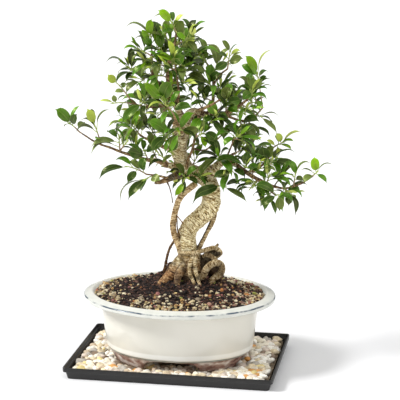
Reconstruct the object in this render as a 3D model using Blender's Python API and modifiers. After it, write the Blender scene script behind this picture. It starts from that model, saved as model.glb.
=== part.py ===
"""A ficus bonsai in an oval glazed pot, standing on pebbles in a shallow tray.

Metres, +Z up. The origin is under the middle of the tray, on the surface that it stands on,
and the pot's long side lies along X, with the tree's front towards -Y.
"""

import math
import random

import bmesh
import bpy
from mathutils import Matrix, Vector, noise
from mathutils.bvhtree import BVHTree

MM = 0.001

# The pot is a 10 by 8 inch oval: everything else is sized against it.
POT_LENGTH = 254 * MM
POT_WIDTH = 203 * MM
POT_TOP = 99.2 * MM
POT_BASE = 22 * MM
POT_FLOOR = 29 * MM
POT_STEPS = 32
FOOT_BOTTOM = 7 * MM
FOOT_INNER = 79 * MM
DRAIN_HOLE_RADIUS = 9 * MM
DRAIN_HOLE_OFFSET = 42 * MM

TRAY_LENGTH = 272 * MM
TRAY_WIDTH = 188 * MM
TRAY_HEIGHT = 16 * MM
TRAY_WALL = 1.8 * MM
TRAY_RIM_DROP = 6 * MM

# Touching pieces keep this much air between them.
GAP = 0.3 * MM
WELD = 0.005 * MM
JOINT_WELD = 0.12 * MM

# The tree was set out as it looks from its front, at the height and distance of an eye.
FRONT_TURN = math.radians(10)
VIEW_SLOPE = math.tan(math.radians(13.2))
VIEW_DISTANCE = 1880
VIEW_X = 27
VIEW_Z = 221

LEAF_HALF_THICKNESS = 0.4 * MM
PETIOLE_RADIUS = 0.55 * MM
TWIG_RADIUS = 0.9 * MM
MOST_LEAF_WIDTH = 17 * MM


def clear_scene():
    for old in list(bpy.data.objects):
        bpy.data.objects.remove(old, do_unlink=True)


clear_scene()
PARTS = bpy.data.collections.new("ficus_bonsai")
CUTTERS = bpy.data.collections.new("cutters")
bpy.context.scene.collection.children.link(PARTS)
bpy.context.scene.collection.children.link(CUTTERS)


# Shared ways of making a solid

def material(name, colour, roughness, metallic=0.0):
    made = bpy.data.materials.new(name)
    made.use_nodes = True
    shader = made.node_tree.nodes["Principled BSDF"]
    shader.inputs["Base Color"].default_value = (*colour, 1)
    shader.inputs["Roughness"].default_value = roughness
    shader.inputs["Metallic"].default_value = metallic
    return made


def link_mesh(name, mesh, collection):
    made = bpy.data.objects.new(name, mesh)
    collection.objects.link(made)
    return made


def from_faces(name, points, faces, collection):
    """A closed object from points and faces, with its faces turned outwards."""
    mesh = bpy.data.meshes.new(name)
    mesh.from_pydata([tuple(p) for p in points], [], faces)
    form = bmesh.new()
    form.from_mesh(mesh)
    bmesh.ops.recalc_face_normals(form, faces=form.faces)
    form.to_mesh(mesh)
    form.free()
    return link_mesh(name, mesh, collection)


def settled(made):
    """The object with its modifiers applied and loose seams welded, as a plain mesh object."""
    graph = bpy.context.evaluated_depsgraph_get()
    mesh = bpy.data.meshes.new_from_object(made.evaluated_get(graph))
    form = bmesh.new()
    form.from_mesh(mesh)
    bmesh.ops.remove_doubles(form, verts=form.verts, dist=WELD)
    bmesh.ops.recalc_face_normals(form, faces=form.faces)
    form.to_mesh(mesh)
    form.free()
    name = made.name
    home = made.users_collection[0]
    place = made.matrix_world.copy()
    bpy.data.objects.remove(made, do_unlink=True)
    plain = link_mesh(name, mesh, home)
    plain.matrix_world = place
    return plain


def turned(name, profile, steps, collection):
    """A ring or bowl: the profile's points (radius, height) turned once round Z."""
    mesh = bpy.data.meshes.new(name)
    points = [(radius, 0, height) for radius, height in profile]
    mesh.from_pydata(points, [(i, i + 1) for i in range(len(points) - 1)], [])
    made = link_mesh(name, mesh, collection)
    screw = made.modifiers.new("turn", "SCREW")
    screw.steps = steps
    screw.render_steps = steps
    screw.use_merge_vertices = True
    screw.merge_threshold = 1e-5
    return settled(made)


def tube(name, route, sides, collection, grow=0.0):
    """A tapered tube along route, which holds (point, radius) pairs in metres."""
    curve = bpy.data.curves.new(name, "CURVE")
    curve.dimensions = "3D"
    curve.bevel_depth = 1.0
    curve.bevel_resolution = (sides - 4) // 2
    curve.use_fill_caps = True
    spline = curve.splines.new("POLY")
    spline.points.add(len(route) - 1)
    for knot, (point, radius) in zip(spline.points, route):
        knot.co = (*point, 1)
        knot.radius = radius + grow
    made = bpy.data.objects.new(name, curve)
    collection.objects.link(made)
    return settled(made)


def box(name, size, centre, collection):
    mesh = bpy.data.meshes.new(name)
    form = bmesh.new()
    place = Matrix.Translation(centre) @ Matrix.Diagonal((*size, 1))
    bmesh.ops.create_cube(form, size=1, matrix=place)
    form.to_mesh(mesh)
    form.free()
    return link_mesh(name, mesh, collection)


def cylinder(name, radius, depth, place, sides, collection):
    mesh = bpy.data.meshes.new(name)
    form = bmesh.new()
    bmesh.ops.create_cone(
        form, cap_ends=True, segments=sides, radius1=radius, radius2=radius, depth=depth, matrix=place
    )
    form.to_mesh(mesh)
    form.free()
    return link_mesh(name, mesh, collection)


def combined(made, others, operation, solver="EXACT"):
    """One Boolean of the object with a group of others, applied, with the others removed."""
    group = bpy.data.collections.new(made.name + "_" + operation.lower())
    CUTTERS.children.link(group)
    for other in others:
        for home in list(other.users_collection):
            home.objects.unlink(other)
        group.objects.link(other)
    step = made.modifiers.new(operation.lower(), "BOOLEAN")
    step.operation = operation
    step.solver = solver
    if len(others) == 1:
        step.object = others[0]
    else:
        step.operand_type = "COLLECTION"
        step.collection = group
    joined = settled(made)
    for other in list(group.objects):
        bpy.data.objects.remove(other, do_unlink=True)
    bpy.data.collections.remove(group)
    return joined


def crosses_itself(form):
    """True where two faces that share no corner run through each other."""
    form.faces.ensure_lookup_table()
    tree = BVHTree.FromBMesh(form, epsilon=0.0)
    for first, second in tree.overlap(tree):
        if first < second and not set(form.faces[first].verts) & set(form.faces[second].verts):
            return True
    return False


def simplified(made, reach):
    """The object with the short edges of its joints drawn together, as far as it stays closed and sound."""
    sound = False
    for share in (1, 0.6, 0.35, 0.15, 0.05, 0):
        form = bmesh.new()
        form.from_mesh(made.data)
        bmesh.ops.remove_doubles(form, verts=form.verts, dist=max(reach * share, WELD))
        bmesh.ops.dissolve_degenerate(form, edges=form.edges, dist=WELD)
        bmesh.ops.dissolve_limit(form, angle_limit=math.radians(1), verts=form.verts, edges=form.edges)
        bmesh.ops.triangulate(form, faces=form.faces)
        sound = all(edge.is_manifold for edge in form.edges) and not crosses_itself(form)
        if sound:
            form.to_mesh(made.data)
        form.free()
        if sound:
            break
    if not sound:
        print("left as joined:", made.name)
    return made


def without_crumbs(made):
    """The object with only its largest body kept, as a Boolean of thin shapes can leave a loose sliver."""
    form = bmesh.new()
    form.from_mesh(made.data)
    bodies = []
    left = set(form.faces)
    while left:
        body = set()
        edge_of = [left.pop()]
        while edge_of:
            face = edge_of.pop()
            body.add(face)
            for edge in face.edges:
                for other in edge.link_faces:
                    if other in left:
                        left.remove(other)
                        edge_of.append(other)
        bodies.append(body)
    bodies.sort(key=len)
    for body in bodies[:-1]:
        bmesh.ops.delete(form, geom=list(body), context="FACES")
    form.to_mesh(made.data)
    form.free()
    return made


def finished(made, finish, smooth_angle=40):
    made.data.materials.clear()
    made.data.materials.append(finish)
    made.data.shade_smooth()
    made.data.set_sharp_from_angle(angle=math.radians(smooth_angle))
    return made


# The oval: a circle of each radius, drawn in by the same amount across the width all the way up

OVAL_DROP = (POT_LENGTH - POT_WIDTH) / 2
OVAL_CORE = 80 * MM


def make_oval(made):
    for vertex in made.data.vertices:
        radius = math.hypot(vertex.co.x, vertex.co.y)
        vertex.co.y *= 1 - OVAL_DROP / max(radius, OVAL_CORE)
    return made


# The tray: black plastic, its wall leaning out to a stepped rim

def rounded_rectangle(length, width, radius, height):
    """Twelve points round a rectangle with cut and rounded corners."""
    points = []
    for quarter in range(4):
        across = 1 if quarter in (0, 3) else -1
        along = 1 if quarter in (0, 1) else -1
        middle = Vector((across * (length / 2 - radius), along * (width / 2 - radius), height))
        for step in range(3):
            angle = math.pi / 2 * quarter + math.pi / 4 * step
            points.append(middle + radius * Vector((math.cos(angle), math.sin(angle), 0)))
    return points


def make_tray():
    rim_bottom = TRAY_HEIGHT - TRAY_RIM_DROP
    corner = 4 * MM
    lean = 2 * MM
    step = 3 * MM
    sections = [
        (2 * (lean + step), 0),
        (2 * step, rim_bottom - 0.6 * MM),
        (0.4 * MM, rim_bottom),
        (0, TRAY_HEIGHT),
        (2 * TRAY_WALL, TRAY_HEIGHT),
        (2 * TRAY_WALL, rim_bottom + TRAY_WALL),
        (2 * (step + 1.2 * MM), rim_bottom + TRAY_WALL - 0.6 * MM),
        (2 * (lean + step + TRAY_WALL), TRAY_WALL),
    ]
    points = []
    faces = []
    for inset, height in sections:
        points += rounded_rectangle(TRAY_LENGTH - inset, TRAY_WIDTH - inset, corner, height)
    count = 12
    for ring in range(len(sections) - 1):
        for i in range(count):
            j = (i + 1) % count
            low = ring * count
            faces.append((low + i, low + j, low + count + j, low + count + i))
    faces.append(tuple(range(count)))
    faces.append(tuple(range(len(points) - count, len(points))))
    tray = from_faces("tray", points, faces, PARTS)
    return finished(tray, material("black plastic", (0.012, 0.012, 0.013), 0.45))


# The pot: a lipped oval bowl on four cloud feet, with two drain holes

RIM = POT_LENGTH / 2
WALL_TOP = 104.5 * MM
WALL_BASE = 97.5 * MM


def make_feet(grow=0.0):
    """The foot ring cut by two arches into four feet. With grow, the room that they stand in."""
    top = POT_BASE + 2 * MM
    outer = 93.5 * MM
    inner = FOOT_INNER
    lean = 5.5 * MM
    profile = [
        (outer + grow, top),
        (outer - lean + grow, FOOT_BOTTOM - grow),
        (inner - grow, FOOT_BOTTOM - grow),
        (inner - 2 * MM - grow, top),
        (outer + grow, top),
    ]
    ring = make_oval(turned("feet", profile, POT_STEPS, PARTS))
    arches = []
    front_arch = (35 * MM, 12 * MM, math.pi / 2, "X")
    end_arch = (26 * MM, 12 * MM, math.pi / 2, "Y")
    for half_width, rise, angle, axis in (front_arch, end_arch):
        turn = Matrix.Rotation(angle, 4, axis)
        squash = (half_width - grow, half_width - grow, rise - grow)
        lift = Matrix.Translation((0, 0, FOOT_BOTTOM + 1.5 * MM))
        place = lift @ Matrix.Diagonal((*squash, 1)) @ turn
        arches.append(cylinder("arch", 1, 8, place, 20, CUTTERS))
    return combined(ring, arches, "DIFFERENCE")


def make_pot():
    profile = [
        (0, POT_FLOOR),
        (86 * MM, POT_FLOOR),
        (91 * MM, POT_FLOOR + 5 * MM),
        (97.5 * MM, 80 * MM),
        (102 * MM, 89 * MM),
        (114.5 * MM, POT_TOP - 0.6 * MM),
        (116 * MM, POT_TOP),
        (RIM - 1 * MM, 96 * MM),
        (RIM, 95 * MM),
        (RIM - 0.4 * MM, 90.6 * MM),
        (RIM - 2.5 * MM, 89.6 * MM),
        (WALL_TOP + 3 * MM, 86.5 * MM),
        (WALL_TOP, 82 * MM),
        (WALL_BASE, 26 * MM),
        (WALL_BASE - 3 * MM, POT_BASE),
        (0, POT_BASE),
    ]
    bowl = make_oval(turned("pot", profile, POT_STEPS, PARTS))
    bowl = combined(bowl, [make_feet()], "UNION")
    holes = []
    for side in (-1, 1):
        place = Matrix.Translation((side * DRAIN_HOLE_OFFSET, 0, POT_FLOOR))
        holes.append(cylinder("drain", DRAIN_HOLE_RADIUS, 30 * MM, place, 14, CUTTERS))
    bowl = combined(bowl, holes, "DIFFERENCE")
    return finished(bowl, material("cream glaze", (0.80, 0.79, 0.72), 0.22))


# Each drain hole has a mesh screen over it, pinned by a bent wire from below

SCREEN_SIDE = 27 * MM
SCREEN_THICKNESS = 1.2 * MM
SCREEN_MESH = 4.4 * MM
WIRE_RADIUS = 0.8 * MM
SCREEN_LOW = POT_FLOOR + GAP
WIRE_TOP = SCREEN_LOW + SCREEN_THICKNESS + GAP + WIRE_RADIUS
WIRE_BOTTOM = POT_BASE - GAP - WIRE_RADIUS - 0.1 * MM
WIRE_LEG = 6 * MM


def make_screen(name, x):
    middle = SCREEN_LOW + SCREEN_THICKNESS / 2
    plate = box(name, (SCREEN_SIDE, SCREEN_SIDE, SCREEN_THICKNESS), (x, 0, middle), PARTS)
    openings = []
    for column in (-1, 1):
        for row in (-1, 0, 1):
            size = (SCREEN_MESH, SCREEN_MESH, 4 * SCREEN_THICKNESS)
            centre = (x + column * WIRE_LEG, row * WIRE_LEG, middle)
            openings.append(box("opening", size, centre, CUTTERS))
    plate = combined(plate, openings, "DIFFERENCE")
    return finished(plate, material("black mesh", (0.015, 0.015, 0.015), 0.5))


def make_clip(name, x):
    spread = 15 * MM
    bend = 1.2 * MM
    half = [
        (spread, WIRE_BOTTOM),
        (WIRE_LEG + bend, WIRE_BOTTOM),
        (WIRE_LEG, WIRE_BOTTOM + bend),
        (WIRE_LEG, WIRE_TOP - bend),
        (WIRE_LEG - bend, WIRE_TOP),
    ]
    path = [(-along, height) for along, height in half] + [point for point in reversed(half)]
    route = [(Vector((x + along, 0, height)), WIRE_RADIUS) for along, height in path]
    clip = tube(name, route, 4, PARTS)
    return finished(clip, material("clip wire", (0.35, 0.33, 0.30), 0.4, 0.9))


# Places on the tree are given in millimetres as it looks from the front

def seen(x, z, depth):
    """Where a thing stands that shows at x, z against the trunk and lies depth behind it."""
    spread = 1 + depth / VIEW_DISTANCE
    side = VIEW_X + (x - VIEW_X) * spread
    rise = VIEW_Z + (z - VIEW_Z) * spread - depth * VIEW_SLOPE
    return Matrix.Rotation(FRONT_TURN, 3, "Z") @ Vector((side, depth, rise)) * MM


FRONT = Matrix.Rotation(FRONT_TURN, 3, "Z") @ Vector((0, -1, VIEW_SLOPE)).normalized()

# Rows are x, z, depth and radius.
TRUNK = (
    (14, 92, 0, 15), (14, 106, 0, 16), (14, 120, 0, 16), (14, 134, 0, 15.5), (12.5, 145, 0, 14.5),
    (10.5, 154, -1, 13.4), (9.5, 164, -2, 12.5), (10, 174, -3, 12), (13, 183, -4, 12),
    (19, 191, -5, 11.8), (27, 198, -6, 11.6), (35, 205.5, -7, 11.6), (40.5, 214, -7, 11.8),
    (42, 224, -6, 11.8), (41.5, 234, -4, 11.4), (39, 243, -2, 11), (33, 250, 0, 10.8),
    (24, 255, 2, 10.6), (14, 259, 3, 10.4), (6.5, 266, 3, 10), (2.5, 275, 2, 9.8),
    (0.5, 286, 1, 9.4), (2, 298, 0, 9), (5, 308, 0, 8.6), (7, 318, 0, 8), (8, 329, 0, 7),
)

# The limbs, each starting inside the one it grows from.
LIMBS = {
    "right_upper": (
        (7, 320, 0, 6.5), (13, 334, -2, 6), (22, 337, -4, 5.2), (33, 334, -6, 4.6),
        (46, 334, -8, 4), (60, 335, -9, 3.3), (70, 339, -11, 2.6), (79, 346, -13, 2.1),
        (88, 353, -15, 1.7),
    ),
    "right_upper_back": (
        (56, 334, -9, 2.2), (68, 329, 2, 2), (78, 325.5, 10, 1.8), (88, 326, 16, 1.6),
        (97, 331, 21, 1.4), (107, 342, 26, 1.2),
    ),
    "left_up": (
        (6, 320, 0, 6), (0, 338, 3, 5.3), (-8, 352, 6, 4.6), (-18, 364, 8, 4), (-27, 374, 9, 3.3),
        (-33, 386, 8, 2.6), (-34, 400, 7, 2), (-34, 414, 6, 1.5),
    ),
    "apex": (
        (-6, 349, 5, 4), (-11, 362, 2, 3.4), (-14, 378, -1, 3), (-14, 394, -3, 2.6),
        (-10, 409, -4, 2.1), (-5, 424, -5, 1.7), (-3, 438, -6, 1.3),
    ),
    "inner_upright": ((-3, 342, 2, 2.2), (0, 360, -8, 1.8), (-2, 378, -13, 1.4), (-4, 391, -16, 1.1)),
    "right_upright": (
        (37, 334, -7, 2.9), (43, 348, 1, 2.6), (44, 362, 8, 2.3), (44, 374, 13, 2),
        (44, 386, 17, 1.6), (38, 396, 20, 1.3),
    ),
    "right_upright_side": ((44, 371, 12, 1.7), (52, 384, 6, 1.5), (62, 392, 1, 1.2)),
    "lower_right": (
        (40, 244, -3, 6), (47, 261, -9, 5.2), (57, 271, -13, 4.6), (69, 270, -17, 4.2),
        (81, 262, -20, 3.7), (92, 254, -22, 3.2), (103, 248, -24, 2.8), (113, 243, -25, 2.4),
        (123, 239, -26, 2), (136, 236.5, -27, 1.7), (148, 239, -28, 1.5), (160, 244, -29, 1.3),
        (172, 252, -30, 1.1),
    ),
    "lower_right_up": (
        (87, 257, -21, 2.5), (100, 262, -8, 2.2), (110, 270, 3, 1.9), (117, 280, 10, 1.6),
        (121, 290, 14, 1.3),
    ),
    "lower_right_front": ((98, 250, -23, 2), (108, 242, -30, 1.7), (118, 233, -36, 1.4), (125, 227, -40, 1.1)),
    "lower_left": (
        (4, 264, 2, 6), (-8, 266, -4, 5), (-18, 268, -8, 4.2), (-28, 273, -11, 3.6),
        (-40, 274, -13, 3), (-52, 277, -15, 2.6), (-64, 281, -17, 2.3), (-76, 285, -19, 2),
        (-88, 290, -21, 1.8), (-100, 294, -22, 1.6), (-110, 299, -23, 1.4), (-119, 305, -24, 1.2),
        (-128, 311, -25, 1.1),
    ),
    "cut_stub": ((6, 258, 0, 6), (-7, 252, -6, 5.2), (-16, 248, -10, 4.4), (-24, 245, -13, 3.4), (-31, 243.5, -15, 2.2)),
    "left_hanging": ((-12, 249, -9, 2.4), (-22, 252, -15, 1.7), (-32, 254, -20, 1.4), (-42, 255, -25, 1.2)),
    "left_middle": ((3, 299, 2, 2.6), (-12, 299, 10, 1.9), (-28, 300, 17, 1.6), (-41, 302, 22, 1.3), (-50, 306, 25, 1.1)),
    "left_upper": ((-5, 347, 4, 2.6), (-20, 344, -5, 2), (-38, 343, -12, 1.6), (-53, 346, -17, 1.3), (-63, 354, -20, 1.1)),
    "left_top": ((-32, 383, 8, 2), (-43, 381, 14, 1.5), (-54, 386, 19, 1.1)),
    "front_middle": ((4, 304, -2, 4), (4, 309, -18, 3.2), (0, 317, -36, 2.5), (-4, 326, -52, 1.9), (-7, 334, -64, 1.4)),
    "front_right": ((20, 337, -4, 3.2), (31, 341, -22, 2.4), (42, 346, -38, 1.9), (52, 352, -50, 1.4)),
    "back_left": ((0, 280, 4, 4.4), (-12, 287, 22, 3.4), (-28, 295, 40, 2.6), (-44, 303, 56, 1.8)),
    "back_middle": ((1, 296, 3, 4.4), (-2, 304, 20, 3.6), (-5, 316, 38, 2.8), (-8, 330, 56, 2)),
    "back_right": ((8, 324, 2, 4), (20, 330, 20, 3.4), (34, 334, 38, 2.6), (50, 338, 56, 1.8)),
    "back_upper": ((-12, 360, 6, 3), (-8, 373, 22, 2.5), (-2, 386, 36, 2), (4, 398, 48, 1.5)),
    "back_low_right": ((28, 253, 4, 4.8), (40, 263, 22, 3.8), (56, 274, 40, 2.8), (74, 284, 56, 1.9)),
    "rising_root": (
        (9, 262, -5, 2.4), (12, 275, -10, 2), (17, 287, -11, 2), (20, 301, -11, 2),
        (24, 320, -9, 2), (26, 336, -5, 2),
    ),
    "thin_right": ((18, 289, -11, 1.6), (34, 287, -8, 1.4), (48, 300, -4, 1.2), (62, 313, 0, 1)),
    "thin_right_low": ((59, 272, -14, 1.6), (66, 289, -20, 1.3), (71, 302, -24, 1)),
}

# Roots that run down the trunk, wrap round its foot or spread into the soil.
ROOTS = {
    "aerial_left": (
        (22, 243, -8, 4.4), (8, 232, -12, 4.1), (0, 222, -12, 4.1), (-4, 210, -11, 4.1),
        (-6.8, 199, -10, 4.1), (-8, 189, -9, 4.2), (-7.5, 180, -8, 4.2), (-5, 171, -8, 4.4),
        (-1.5, 163, -8, 4.8), (2, 152, -7, 5), (4, 141, -6, 4.6),
    ),
    "aerial_dark": ((-4, 205, -11, 1), (-3, 196, -14, 0.8), (-2.5, 184, -14, 0.8), (0, 171, -11, 1)),
    "aerial_link": ((-4, 201, -11, 0.8), (1, 195, -9, 0.7), (6, 188, -8, 0.8)),
    "aerial_low_left": (
        (-3, 167, -8, 2.2), (-8, 164, -7, 1.8), (-13, 155, -6, 1.7), (-16, 145, -5, 1.7),
        (-18, 135, -4, 1.9), (-20, 124, -3, 2.1),
    ),
    "aerial_right": (
        (44, 227, 0, 3), (47.2, 214, 0, 2.4), (46.8, 203, -1, 2.3), (43.6, 193, -2, 2.2),
        (39, 183, -3, 2.2), (34, 173, -4, 2.2), (29, 163, -5, 2.4), (24, 152, -6, 3),
    ),
    "wrap_upper": (
        (-1, 152, -9, 3), (8, 150, -13, 3), (18, 150, -14, 3), (28, 152, -13, 3), (37, 155, -11, 3),
        (45, 157, -8, 3), (52, 154, -5, 3), (54, 149, -3, 2.6), (49, 145, -2, 2.6),
        (41, 146, -3, 3), (30, 146, -4, 3),
    ),
    "knob": ((46, 156, -8, 2.4), (49.5, 160, -8, 2), (50.5, 162.5, -8, 1.4)),
    "loop": (
        (24, 116, -10, 5), (31, 119, -15, 4.7), (34.5, 126.5, -18, 4.7), (40, 133, -19, 4.7),
        (47.5, 136.5, -19, 4.7), (54, 134.5, -17, 4.6), (56.5, 128.5, -15, 4.4), (53.5, 121.5, -14, 4.3),
        (46.5, 116.5, -14, 4.3), (40.5, 109, -14, 4.1), (38, 94, -13, 3.8),
    ),
    "loop_link": ((32, 148, -8, 3.2), (40, 146, -11, 3.2), (46, 141.5, -14, 3.2), (50, 136, -16, 3.2)),
    "front_left": (
        (19, 146, -12, 2.8), (14.5, 137, -16, 2.6), (13, 128, -18, 2.5), (14, 120, -19, 2.4),
        (17.5, 113, -21, 2.4), (20.5, 104, -23, 2.2), (21, 94, -24, 2),
    ),
    "front_right": (
        (24, 150, -10, 2.8), (20.5, 140, -15, 2.7), (20.5, 130, -18, 2.7), (22, 122, -19, 2.7),
        (24.5, 114, -20, 2.6), (27, 104, -22, 2.4), (28, 94, -23, 2.2),
    ),
    "buttress_left": (
        (10, 146, -2, 10), (3, 137, -3, 10.4), (-5, 128, -5, 9.6), (-13, 118, -8, 8.2),
        (-22, 109, -11, 6.2), (-31, 99, -14, 4.2), (-38, 90, -15, 3),
    ),
    "buttress_front_left": ((6, 134, -8, 7), (0, 122, -14, 5.6), (-3, 110, -20, 4), (-5, 97, -25, 2.8)),
    "buttress_back_left": ((6, 134, 6, 8), (-3, 122, 16, 6), (-12, 113, 26, 4.4), (-20, 102, 34, 3)),
    "buttress_back": ((16, 134, 8, 8), (20, 122, 20, 6.2), (25, 113, 32, 4.4), (29, 102, 42, 3)),
    "buttress_right": (
        (20, 142, 3, 10), (30, 134, 5, 10.4), (39, 125, 7, 9.6), (46, 115, 9, 7.6), (53, 103, 12, 5), (58, 92, 14, 3.4),
    ),
    "hanging_thread": ((-16, 246, -10, 1.2), (-12.5, 238, -12, 0.8), (-10, 228, -12, 0.6), (-8.5, 218, -11, 0.7)),
}

# Leaves by age: width against length, and how far the blade bows.
LEAF_KINDS = {
    "old": (0.42, 0.12),
    "mid": (0.42, 0.10),
    "young": (0.44, 0.08),
    "round": (0.72, 0.04),
    "spear": (0.17, 0.14),
}
BLADE_FOLD = 0.16
# A short blade is widest at one place; a long one has a second, narrower section.
LONG_LEAF = 39 * MM
SHORT_STATIONS = ((0.46, 1.0),)
LONG_STATIONS = ((0.40, 1.0), (0.73, 0.78))


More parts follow.
